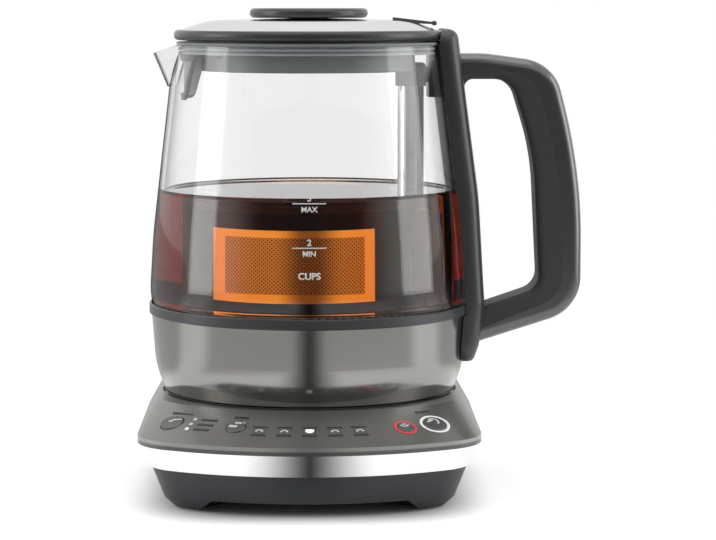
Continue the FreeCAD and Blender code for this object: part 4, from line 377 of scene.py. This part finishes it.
def bright_post():
    """Mirror-polished post: bright where it is seen straight on, with painted shade along its edges."""
    p = paint("bright_post")
    edge = p.edge()
    haze = p.noise(p.spot(), 60.0, 5.0, 0.65)
    # painted shade: the colour darkens towards the edges as they are seen
    tint = p.blend((edge ** 2.0) * 1.6, p.blend(haze, grey(0.86), grey(0.93)), grey(0.08))
    return p.close(p.surface(
        Base_Color=tint, Metallic=1.0, Roughness=0.07 + haze * 0.03,
        Normal=p.bump(haze, 0.001 * MM, 0.2)))


def brewed_tea():
    """Clear red-brown tea: orange where it is thin, near black where it is deep."""
    p = paint("brewed_tea")
    ripple = p.noise(p.spot(), 60.0, 2.0)
    liquid = p.surface(
        Base_Color=(1.0, 0.94, 0.88, 1.0), Roughness=0.0, IOR=1.33, Transmission_Weight=1.0,
        Normal=p.bump(ripple, 0.01 * MM, 0.05))
    depth = p.add("ShaderNodeVolumeAbsorption", None, {
        "Color": (0.82, 0.5, 0.12, 1.0), "Density": 95.0})
    thin = p.clear((0.85, 0.5, 0.25, 1.0))
    return p.close(p.mixed(p.ray("Is Shadow Ray"), liquid, thin), volume=depth)


def perforated(name, node, pitch, hole, border, glow):
    """Thin sheet with a diagonal grid of round holes inside a plain border; the holes are painted near
    black, as painted shade. glow is the strength of painted light that the sheet gives off, standing for
    light coming through the basket from behind, weaker down the middle."""
    p = paint(name)
    low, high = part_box(node)
    centre = BASKET if node == "basket_screens" else JUG
    angle, _, height = round_about(p, centre)
    x = p.along(p.spot())[0]
    arc = angle * ((high.y - low.y) / 2)
    # painted shade: the painted glow is weaker down the middle
    off_middle = (x - JUG.x).size().above(2.0 * MM, 15.0 * MM)
    first = ((arc + height) / pitch).part() - 0.5
    second = ((arc - height) / pitch).part() - 0.5
    hole_here = (first * first + second * second).math("SQRT").below(hole - 0.07, hole + 0.07)
    inside = height.between(low.z + border, high.z - border, 0.1 * MM)
    inside = inside * x.between(low.x + border, high.x - border, 0.1 * MM)
    hole_here = hole_here * inside
    fine = p.noise(p.spot(), 900.0, 3.0)
    # the holes are painted near-black dots, as painted shade
    tint = p.blend(hole_here, p.blend(fine, grey(0.3), grey(0.4)), grey(0.03))
    # painted light: the sheet and its plain border give off a warm glow that stands for backlight
    painted_sheet_glow = p.blend(fine, (0.5, 0.38, 0.15, 1.0), (0.6, 0.45, 0.18, 1.0))
    lit = p.blend(inside, (1.0, 0.78, 0.3, 1.0), painted_sheet_glow)
    light = p.blend(hole_here, lit, grey(0.06))
    light = p.blend(off_middle * 0.8 + 0.2, grey(0.0), light)
    return p.close(p.surface(
        Base_Color=tint, Metallic=0.4, Roughness=0.34 + fine * 0.08, Emission_Color=light,
        Emission_Strength=glow, Normal=p.bump(hole_here, -0.15 * MM, 0.6)))


def circuit_laminate():
    """Dark green circuit board with a net of paler tracks."""
    p = paint("circuit_laminate")
    spot = p.spot()
    weave = p.noise(spot, 2400.0, 2.0)
    tracks = p.add("ShaderNodeTexVoronoi", {"feature": "DISTANCE_TO_EDGE"}, {
        "Vector": spot, "Scale": 420.0})
    mask = tracks.below(0.03, 0.07)
    tint = p.blend(mask, (0.016, 0.12, 0.05, 1.0), (0.03, 0.24, 0.1, 1.0))
    return p.close(p.surface(
        Base_Color=tint, Roughness=0.3 + weave * 0.15, Coat_Weight=0.4,
        Normal=p.bump(mask * 0.6 + weave * 0.4, 0.02 * MM, 0.5)))


def lamp_lenses():
    """Small diffusing windows. The middle cup lamp and the lowest lamp of the tea list are lit."""
    p = paint("lamp_lenses")
    x, y = p.along(p.spot())[:2]
    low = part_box("indicator_lamps")[0]
    cup_reach, cup_depth, cup_back = 2.1 * MM, 1.9 * MM, 2.6 * MM
    across, back = (x - JUG.x) / cup_reach, (y - low.y - cup_back) / cup_depth
    cup = (across * across + back * back).below(0.6, 1.1)
    listed = x.below(low.x + 1.7 * MM, low.x + 1.9 * MM)
    dots = x.below(low.x + 12.0 * MM, low.x + 12.5 * MM)
    fine = p.noise(p.spot(), 1600.0, 2.0)
    lit = cup.either(listed).either(dots * 0.45)
    tint = p.blend(fine * 0.2, p.blend(lit, grey(0.13), grey(0.9)), grey(0.3))
    return p.close(p.surface(
        Base_Color=tint, Roughness=0.3 + fine * 0.1,
        Emission_Color=p.blend(lit, grey(0.0), grey(1.0)), Emission_Strength=0.6,
        Normal=p.bump(fine, 0.01 * MM, 0.4)))


def ring_lights():
    """The keep-warm button's ring glows red, the start button's white."""
    p = paint("ring_lights")
    x = p.along(p.spot())[0]
    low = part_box("button_light_rings")[0]
    white = x.above(low.x + 11.0 * MM, low.x + 11.4 * MM)
    fine = p.noise(p.spot(), 1400.0, 2.0)
    tint = p.blend(white, (0.62, 0.03, 0.05, 1.0), grey(0.85))
    return p.close(p.surface(
        Base_Color=p.blend(fine * 0.15, tint, grey(0.8)), Roughness=0.28 + fine * 0.1,
        Emission_Color=tint, Emission_Strength=0.4, Normal=p.bump(fine, 0.01 * MM, 0.4)))


def printed(name, colour):
    """Screen-printed ink, very slightly uneven."""
    p = paint(name)
    fine = p.noise(p.spot(), 3000.0, 2.0)
    return p.close(p.surface(
        Base_Color=p.blend(fine, shade(colour, 0.9), colour), Roughness=0.4 + fine * 0.15,
        Normal=p.bump(fine, 0.004 * MM, 0.5)))


def threaded():
    """Plated screw: a fine helical thread in the bump."""
    p = paint("plated_screw")
    lead = 2.0 * MM
    angle, _, height = round_about(p, POST)
    turn = (angle / (2 * math.pi) + height / lead).part()
    ridge = (turn - 0.5).size() * 2.0
    fine = p.noise(p.spot(), 900.0, 3.0)
    return p.close(p.surface(
        Base_Color=p.blend(fine, grey(0.45), grey(0.62)), Metallic=1.0,
        Roughness=0.24 + fine * 0.1, Normal=p.bump(ridge, 0.5 * MM, 0.9)))


DARK_PLASTIC = moulded("dark_plastic", (0.05, 0.052, 0.056, 1.0), 0.34, 0.4, coat=0.15)
FINISH = [
    (DARK_PLASTIC, ["handle_column", "lid_rim", "lid_knob", "jug_band", "rim_bracket"]),
    (moulded("grip_plastic", (0.052, 0.053, 0.056, 1.0), 0.6, 0.7), ["handle_grip"]),
    (moulded("housing_plastic", (0.042, 0.044, 0.048, 1.0), 0.5, 0.7), ["base_housing"]),
    (cover_plastic(), ["base_cover"]),
    (moulded("button_plastic", (0.13, 0.13, 0.125, 1.0), 0.3, 0.2, coat=0.3, metallic=0.3),
     ["tea_button", "strength_button", "warm_button", "start_button"]),
    (moulded("grey_plastic", (0.2, 0.21, 0.215, 1.0), 0.4, 0.4),
     ["lid_skirt", "post_cap", "post_foot", "basket_saddle"]),
    (moulded("basket_lid_plastic", (0.06, 0.06, 0.062, 1.0), 0.35, 0.3), ["basket_lid"]),
    (moulded("handle_lacquer", (0.14, 0.139, 0.136, 1.0), 0.24, 0.1, coat=0.5, metallic=0.6),
     ["handle_cover"]),
    (moulded("black_plastic", (0.022, 0.023, 0.025, 1.0), 0.45, 0.6),
     ["bottom_plate", "base_connector", "jug_connector", "jug_underside", "tact_switches",
      "power_components", "spout_strainer", "motor_mount", "magnet_carrier"]),
    (brushed("foot_steel", (0.33, 0.326, 0.31, 1.0), 0.16, "round", 0.05, 0.2), ["jug_shell"]),
    (lid_dome(), ["lid_top"]),
    (brushed("basket_steel", (0.055, 0.05, 0.046, 1.0), 0.32, "round", 0.02, 0.1),
     ["basket_shell", "basket_floor"]),
    (brushed("plate_steel", (0.5, 0.5, 0.49, 1.0), 0.3, "rings"), ["heater_plate", "temperature_probe"]),
    (polished("tab_steel", grey(0.86)), ["lid_tab"]),
    (bright_post(), ["guide_post"]),
    (trim_strip(), ["front_trim"]),
    (rubbery("black_rubber", grey(0.024)), ["rubber_feet", "cord_inlet"]),
    (rubbery("grey_silicone", (0.3, 0.31, 0.32, 1.0), 0.5), ["plate_seal", "lid_seal"]),
    (brushed("cast_aluminium", (0.6, 0.61, 0.62, 1.0), 0.42, "rings", 0.1),
     ["heat_spreader", "heating_element"]),
    (polished("contact_brass", (0.72, 0.55, 0.27, 1.0), 0.2), ["contact_rings", "contact_prongs"]),
    (threaded(), ["base_screws", "handle_screws", "lead_screw", "shaft_coupler", "motor_shaft",
                  "carrier_magnets", "saddle_slugs"]),
    (polished("motor_can", (0.4, 0.41, 0.42, 1.0), 0.28), ["lift_motor"]),
    (clear_glass(), ["glass_jug"]),
    (perforated("basket_screen", "basket_screens", 1.75 * MM, 0.27, 5.0 * MM, 1.4), ["basket_screens"]),
    (perforated("strainer_sheet", "strainer_mesh", 1.5 * MM, 0.3, 1.5 * MM, 0.0), ["strainer_mesh"]),
    (circuit_laminate(), ["switch_boards", "power_board"]),
    (lamp_lenses(), ["indicator_lamps"]),
    (ring_lights(), ["button_light_rings"]),
]
for material, names in FINISH:
    for name in names:
        for holder in NODES[name].material_slots:
            holder.material = material


# ------------------------------------------------------------------ pieces from formulas
def new_piece(name, points, faces, material, body):
    """A smooth-shaded piece with one material, that rides a body."""
    mesh = bpy.data.meshes.new(name)
    mesh.from_pydata(np.asarray(points, float).reshape(-1, 3).tolist(), [], faces)
    mesh.polygons.foreach_set("use_smooth", np.ones(len(mesh.polygons), bool))
    mesh.update()
    mesh.materials.append(material)
    piece = bpy.data.objects.new(name, mesh)
    bpy.context.scene.collection.objects.link(piece)
    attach(piece, body)
    return piece


def grid_faces(rows, columns, joined=False):
    """Quads of a grid of rows by columns of points, its columns joined round if asked."""
    across = columns if joined else columns - 1
    row, column = np.meshgrid(np.arange(rows - 1), np.arange(across), indexing="ij")
    after = (column + 1) % columns
    corners = [row * columns + column, row * columns + after,
               (row + 1) * columns + after, (row + 1) * columns + column]
    return np.stack([corner.ravel() for corner in corners], axis=1)


def turned(name, radii, levels, centre, axis, material, body, steps=128):
    """A closed solid of revolution about an axis, X, Y or Z: at angle t and station s the point is the
    centre plus r(s) cos t and r(s) sin t across the axis and h(s) along it. Fans close both ends."""
    turn = np.linspace(0, 2 * math.pi, steps, endpoint=False)
    r, h = np.asarray(radii, float)[:, None], np.asarray(levels, float)[:, None]
    across = [r * np.cos(turn), r * np.sin(turn)]
    across.insert(axis, h + 0 * turn)
    points = np.stack(across, axis=-1).reshape(-1, 3) + np.array(centre)
    ends = np.zeros((2, 3))
    ends[:, axis] = levels[0], levels[-1]
    count = len(points)
    points = np.vstack([points, ends + np.array(centre)])
    here = np.arange(steps)
    there = (here + 1) % steps
    last = count - steps
    low_fan = np.stack([np.full(steps, count), there, here], axis=1)
    high_fan = np.stack([np.full(steps, count + 1), last + here, last + there], axis=1)
    faces = grid_faces(len(radii), steps, joined=True).tolist() + low_fan.tolist() + high_fan.tolist()
    if axis == 1:
        faces = [face[::-1] for face in faces]
    new_piece(name, points, faces, material, body)


def tea_body():
    """Tea from the heater plate up to its level. Its side follows the glass wall, found by rays, and
    sinks a hair into it; its edge climbs the glass by a small meniscus that falls off as exp(-d/s)."""
    sink, climb, fade = 0.12 * MM, 1.2 * MM, 1.1 * MM
    foot, corner, hub, ring = 4.4 * MM, 6 * MM, 2 * MM, 20 * MM
    stations = 26
    floor = WATER_FLOOR - 0.2 * MM
    heights = np.linspace(WATER_FLOOR + foot, TEA_LEVEL + climb, stations)
    side = np.array([glass_inside(height) + sink for height in heights])
    away = np.array([0.4, 0.9, 1.6, 2.6, 4.0, 7.0]) * MM
    radii = [hub, side[0] - corner, *side, *(side[-1] - away), ring, hub]
    levels = [floor, floor, *heights, *(TEA_LEVEL + climb * np.exp(-away / fade)), TEA_LEVEL, TEA_LEVEL]
    turned("tea", radii, levels, (JUG.x, JUG.y, 0), 2, brewed_tea(), "jug")


def tab_bead():
    """Rounded dark grip along the tip of the lid's tab: a rod whose radius is r cos b and whose ends
    reach out by r sin b, over the bend b of each half-round end."""
    mesh = NODES["lid_tab"].data
    spots = np.array([vertex.co for vertex in mesh.vertices])
    tip = spots[spots[:, 0] > spots[:, 0].max() - 0.5 * MM]
    centre = (spots[:, 0].max(), JUG.y, tip[:, 2].mean())
    reach, radius, thinnest = (spots[:, 1].max() - spots[:, 1].min()) / 2, 1.1 * MM, 0.02 * MM
    bend = np.linspace(-math.pi / 2, math.pi / 2, 14)
    along = np.where(bend < 0, -1, 1) * (reach - radius) + radius * np.sin(bend)
    turned("tab_bead", np.maximum(radius * np.cos(bend), thinnest), along, centre, 1,
           DARK_PLASTIC, "lid", steps=24)


# ------------------------------------------------------------------ printed marks
# Heights on the glass are in metres. Angles on the panel are degrees round its bow, and distances
# down its slope and sizes of marks are millimetres.
INK_LIFT, LAMP_LIFT, CAP_LIFT = 0.04 * MM, 0.16 * MM, 0.62 * MM
INK_FILM = 0.07 * MM
LEVEL_LINES = ((0.1383, "5", "MAX"), (0.1187, "2", "MIN"))
CUPS_HEIGHT = 0.1063
LAMP_COUNT, LIT_LAMP, LAMP_PITCH, LAMP_DOWN = 5, 2, 5.7, 17.1
LIST_COUNT, LIST_ANGLE, LIST_DOWN, LIST_PITCH = 3, -28.7, 10.4, 4.0
# Dark bar above a button: across, up, width, height.
BUTTON_BARS = {
    "tea_button": (0.6, 6.6, 11.5, 1.2),
    "strength_button": (0.0, 6.2, 7.0, 2.0),
    "start_button": (-0.5, 9.2, 7.5, 1.6)}
# Pale shapes on each cap: a method of Print and its sizes.
CAP_SIGNS = {
    "tea_button": [("bar", -2.2, -1.2, 5.0, 1.5, 12), ("bar", 1.6, 0.7, 4.6, 1.1, 16)],
    "strength_button": [("bar", 0.9, 1.3, 4.6, 1.3), ("bar", -1.6, -1.5, 3.8, 1.9)],
    "warm_button": [("arc", 0.0, 0.8, 2.0, 0.8, 200, 340), ("bar", 0.0, 0.6, 2.2, 0.8)],
    "start_button": [("arc", 0.0, 0.0, 2.3, 0.9, -60, 150), ("bar", -1.6, 0.6, 4.0, 1.0, 20)]}


class Print:
    """Flat shapes in millimetres, across and up, gathered into one piece of ink."""

    def __init__(self):
        self.points = []
        self.faces = []
        self.count = 0

    def add(self, points, faces, lay):
        """lay turns flat millimetres into places on the surface that carries the ink."""
        points = np.asarray(points, float)
        self.points.append(lay(points[:, 0] * MM, points[:, 1] * MM))
        self.faces += [[index + self.count for index in face] for face in faces]
        self.count += len(points)

    def bar(self, lay, x, y, width, height, lean=0.0):
        """A bar about a middle, cut along its length so that it can bend: at u along and v up it is
        (x + u cos t - v sin t, y + u sin t + v cos t), with its lean t in degrees."""
        cut = 0.8
        steps = max(2, int(width / cut) + 1)
        u, v = np.meshgrid(np.linspace(-width / 2, width / 2, steps), [-height / 2, height / 2])
        turn = math.radians(lean)
        points = np.stack([x + u * math.cos(turn) - v * math.sin(turn),
                           y + u * math.sin(turn) + v * math.cos(turn)], axis=-1).reshape(-1, 2)
        self.add(points, grid_faces(2, steps).tolist(), lay)

    def arc(self, lay, x, y, radius, width, start, end):
        """Part of a ring, between two angles t in degrees: (x + r cos t, y + r sin t) on both edges."""
        cut = 15
        turn = np.radians(np.linspace(start, end, max(6, int(abs(end - start) / cut))))
        rings = [radius - width / 2, radius + width / 2]
        points = np.concatenate([np.stack([x + r * np.cos(turn), y + r * np.sin(turn)], axis=-1)
                                 for r in rings])
        self.add(points, [face[::-1] for face in grid_faces(2, len(turn)).tolist()], lay)

    def words(self, lay, x, y, text, height):
        """Plain numbers or letters, centred, made a little bolder than the font."""
        font_size, bolder = 1.4, 0.04
        curve = bpy.data.curves.new("words", "FONT")
        curve.body, curve.size, curve.align_x = text, height * font_size, "CENTER"
        curve.offset = bolder * height
        holder = bpy.data.objects.new("words", curve)
        flat = holder.to_mesh()
        points = np.array([vertex.co[:2] for vertex in flat.vertices]) + (x, y - height / 2)
        faces = [list(face.vertices) for face in flat.polygons]
        holder.to_mesh_clear()
        bpy.data.objects.remove(holder)
        bpy.data.curves.remove(curve)
        self.add(points, faces, lay)

    def done(self, name, material, body, slot):
        """The ink gets a thickness, most of it sunk into what carries it."""
        piece = new_piece(name, np.concatenate(self.points), self.faces, material, body)
        film = piece.modifiers.new("film", "SOLIDIFY")
        film.thickness, film.offset = INK_FILM, -1.0


def on_glass(height):
    """Lays ink on the front of the jug: across becomes an angle round it, up stays up."""
    def lay(across, up):
        probe = 4 * MM
        lean = (glass_outside(height + probe) - glass_outside(height - probe)) / (2 * probe)
        reach = glass_outside(height) + up * lean + INK_LIFT
        turn = across / reach
        level = height + up
        return np.stack([JUG.x + reach * np.sin(turn), JUG.y - reach * np.cos(turn), level], axis=-1)
    return lay


def on_panel(angle, down, lift=INK_LIFT):
    """Lays ink on the control panel's cone: across is an angle round its bow, up runs up the slope."""
    def lay(across, up):
        ring = BOW_RADIUS - PANEL_RUN + (down * MM - up) * math.cos(PANEL_TILT)
        turn = math.radians(angle) + across / ring
        out = ring + lift * math.sin(PANEL_TILT)
        level = PLATEAU - (down * MM - up) * math.sin(PANEL_TILT) + lift * math.cos(PANEL_TILT)
        return np.stack([BOW.x + out * np.sin(turn), BOW.y - out * np.cos(turn), level], axis=-1)
    return lay


def panel_spot(node):
    """Angle round the bow and distance down the slope of a button."""
    place = middle(node) - BOW
    ring = math.hypot(place.x, place.y)
    down = (ring - BOW_RADIUS + PANEL_RUN) / math.cos(PANEL_TILT) / MM
    return math.degrees(math.atan2(place.x, -place.y)), down


def glass_marks():
    """Level lines in front of the jug, each with a number above it and a word below it."""
    line_width, line_height, apart = 15.0, 0.5, 2.5
    number_height, word_height, cups_height = 2.8, 2.4, 3.0
    ink = Print()
    for height, above, below in LEVEL_LINES:
        lay = on_glass(height)
        ink.bar(lay, 0, 0, line_width, line_height)
        ink.words(lay, 0, apart, above, number_height)
        ink.words(lay, 0, -apart, below, word_height)
    ink.words(on_glass(CUPS_HEIGHT), 0, 0, "CUPS", cups_height)
    ink.done("level_marks", printed("glass_ink", grey(0.95)), "jug", "clear_glass")


def panel_marks():
    """Dark bars beside the buttons and lamps, and a pale arch on each lamp that is off."""
    dark, pale = Print(), Print()
    for lamp in range(LAMP_COUNT):
        lay = on_panel((lamp - LIT_LAMP) * LAMP_PITCH, LAMP_DOWN, LAMP_LIFT)
        for side in (-1, 1):
            dark.bar(lay, 0, side * 3.3, 7.0, 0.8)
        if lamp != LIT_LAMP:
            pale.arc(lay, 0, -0.5, 1.5, 0.8, 0, 180)
    for row in range(LIST_COUNT):
        dark.bar(on_panel(LIST_ANGLE, LIST_DOWN + row * LIST_PITCH), 7.2, 0, 8.0, 1.7)
    for button, sizes in BUTTON_BARS.items():
        dark.bar(on_panel(*panel_spot(button)), *sizes)
    dark.done("panel_signs", printed("dark_ink", grey(0.035)), "base", "black_plastic")
    white = printed("pale_ink", grey(0.92))
    pale.done("lamp_signs", white, "base", "lamp_lens")
    cap_signs(white)


def cap_signs(white):
    """The signs printed on the buttons' caps, each on its own button."""
    for button, shapes in CAP_SIGNS.items():
        ink = Print()
        for shape, *sizes in shapes:
            getattr(ink, shape)(on_panel(*panel_spot(button), CAP_LIFT), *sizes)
        ink.done(button.replace("button", "sign"), white, button, "lamp_lens")


tea_body()
tab_bead()
glass_marks()
panel_marks()


# ------------------------------------------------------------------ studio
# Name, place, width, height and brightness.
SOFT_BOXES = (
    ("softbox_left", (-1.1, -0.12, 0.35), 0.45, 1.0, 2.4),
    ("softbox_right", (1.1, -0.12, 0.35), 0.6, 1.0, 2.2),
    ("softbox_top", (0.0, -0.1, 1.3), 1.0, 1.0, 0.9))
LIT_POINT = (0, 0, 0.11)
FLOOR_HALF = 4.0
EYE_HEIGHT, EYE_DISTANCE, EYE_LENS = 0.229, 1.2, 128.4
AIM_ACROSS, AIM_HEIGHT = 0.023, 0.1012


def span(*angles):
    """Angles in degrees, either side of straight ahead of the part, as radians."""
    return [math.radians(angle) for angle in angles]


# Bearings of the floor and sky zones that are painted dark, or left bright, for reflections only.
DARK_FRONT_IN_REFLECTIONS = span(35, 75)
FLOOR_SLOT = span(-2, 20)
SKY_SLOT = span(2, 13)
UNDER_BOXES = span(70, 97, 6)


def aim(thing, target):
    """Turns a lamp or camera to look at a point."""
    thing.rotation_euler = (Vector(target) - thing.location).to_track_quat("-Z", "Y").to_euler()


def soft_box(name, place, width, height, level):
    """A softbox of a given brightness: its power is brightness times area times pi."""
    lamp = bpy.data.lights.new(name, "AREA")
    lamp.shape = "RECTANGLE"
    lamp.size, lamp.size_y = width, height
    lamp.energy = level * width * height * math.pi
    thing = bpy.data.objects.new(name, lamp)
    thing.location = place
    bpy.context.scene.collection.objects.link(thing)
    aim(thing, LIT_POINT)


def floor_paint():
    """White floor that turns from paint, which takes the shadow, to plain white further out. Its own
    light fades out towards the base and is gone under it, a painted shadow round the base. In reflections
    only it is painted dark forward of the part, and left brightest to the two sides, under the softboxes."""
    p = paint("studio_floor")
    x, y = p.along(p.spot())[:2]
    wide, deep = (COVER_HIGH.x - COVER_LOW.x) / 2, (COVER_HIGH.y - COVER_LOW.y) / 2
    across, along = ((x - BASE.x) / wide).size(), ((y - BASE.y) / deep).size()
    ring = (across ** 4.0 + along ** 4.0) ** 0.25
    # painted shadow: the floor's own light fades out towards the base's outline
    outside_painted_shadow = ring.above(0.72, 1.12)
    away = (x * x + y * y).math("SQRT")
    near = away.below(0.3, 0.75)
    bearing = (x - BOW.x).math("ARCTAN2", BOW.y - y).size()
    # painted reflection: strips and zones of floor that only reflections show dark
    slot = bearing.below(*FLOOR_SLOT) * (0.0 - y).above(0.088, 0.092)
    far = bearing.below(*DARK_FRONT_IN_REFLECTIONS) * away.above(0.68, 0.82)
    under_boxes = bearing.between(*UNDER_BOXES)
    dimmer = away.above(0.2, 0.28) * (1.0 - under_boxes) * 0.45
    painted_reflection_dark = slot.either(far).either(dimmer) * p.mirrored()
    glow = p.add("ShaderNodeEmission", None, {
        "Color": grey(1.0),
        "Strength": (1.0 - near * 0.4) * outside_painted_shadow * p.backdrop_ray() * (1.0 - painted_reflection_dark * 0.97)})
    matt = p.add("ShaderNodeBsdfDiffuse", None, {
        "Color": p.blend(near * (1.0 - painted_reflection_dark), grey(0.0), grey(0.75))})
    return p.close(p.add("ShaderNodeAddShader", None, {0: glow, 1: matt}))


def studio_world():
    """White all round to the eye, to metal and to glass, but for a front, and a slot high in front, that
    are painted dark in reflections only; an even soft level for everything else."""
    world = bpy.data.worlds.new("studio")
    bpy.context.scene.world = world
    p = Paint(world, "ShaderNodeOutputWorld")
    x, y, z = p.along(p.add("ShaderNodeTexCoord", out="Generated"))
    bearing = x.math("ARCTAN2", 0.0 - y).size()
    # painted reflection: the front and a slot high in front are dark to reflected rays only
    painted_reflection_dark = bearing.below(*DARK_FRONT_IN_REFLECTIONS) * z.below(0.3, 0.45)
    painted_reflection_dark = painted_reflection_dark.either(bearing.below(*SKY_SLOT) * z.below(0.85, 0.97))
    seen = p.backdrop_ray()
    level = seen * (1.0 - p.mirrored() * painted_reflection_dark * 0.93) + (1.0 - seen) * 0.5
    p.close(p.add("ShaderNodeBackground", None, {"Color": grey(1.0), "Strength": level}))


def studio():
    """Floor, world and softboxes."""
    mesh = bpy.data.meshes.new("floor")
    corners = [(x * FLOOR_HALF, y * FLOOR_HALF, 0) for x, y in ((-1, -1), (1, -1), (1, 1), (-1, 1))]
    mesh.from_pydata(corners, [], [(0, 1, 2, 3)])
    mesh.materials.append(floor_paint())
    ground = bpy.data.objects.new("floor", mesh)
    bpy.context.scene.collection.objects.link(ground)
    studio_world()
    for box in SOFT_BOXES:
        soft_box(*box)


def camera():
    """In front of the jug's axis, just above the knob, looking a little down and towards the handle."""
    eye = bpy.data.cameras.new("camera")
    eye.sensor_width = 36.0
    eye.lens = EYE_LENS
    eye.clip_start = 0.05
    thing = bpy.data.objects.new("camera", eye)
    thing.location = (JUG.x, JUG.y - EYE_DISTANCE, EYE_HEIGHT)
    bpy.context.scene.collection.objects.link(thing)
    bpy.context.scene.camera = thing
    aim(thing, (JUG.x + AIM_ACROSS, JUG.y, AIM_HEIGHT))


studio()
camera()
bpy.context.scene.view_settings.view_transform = "Standard"
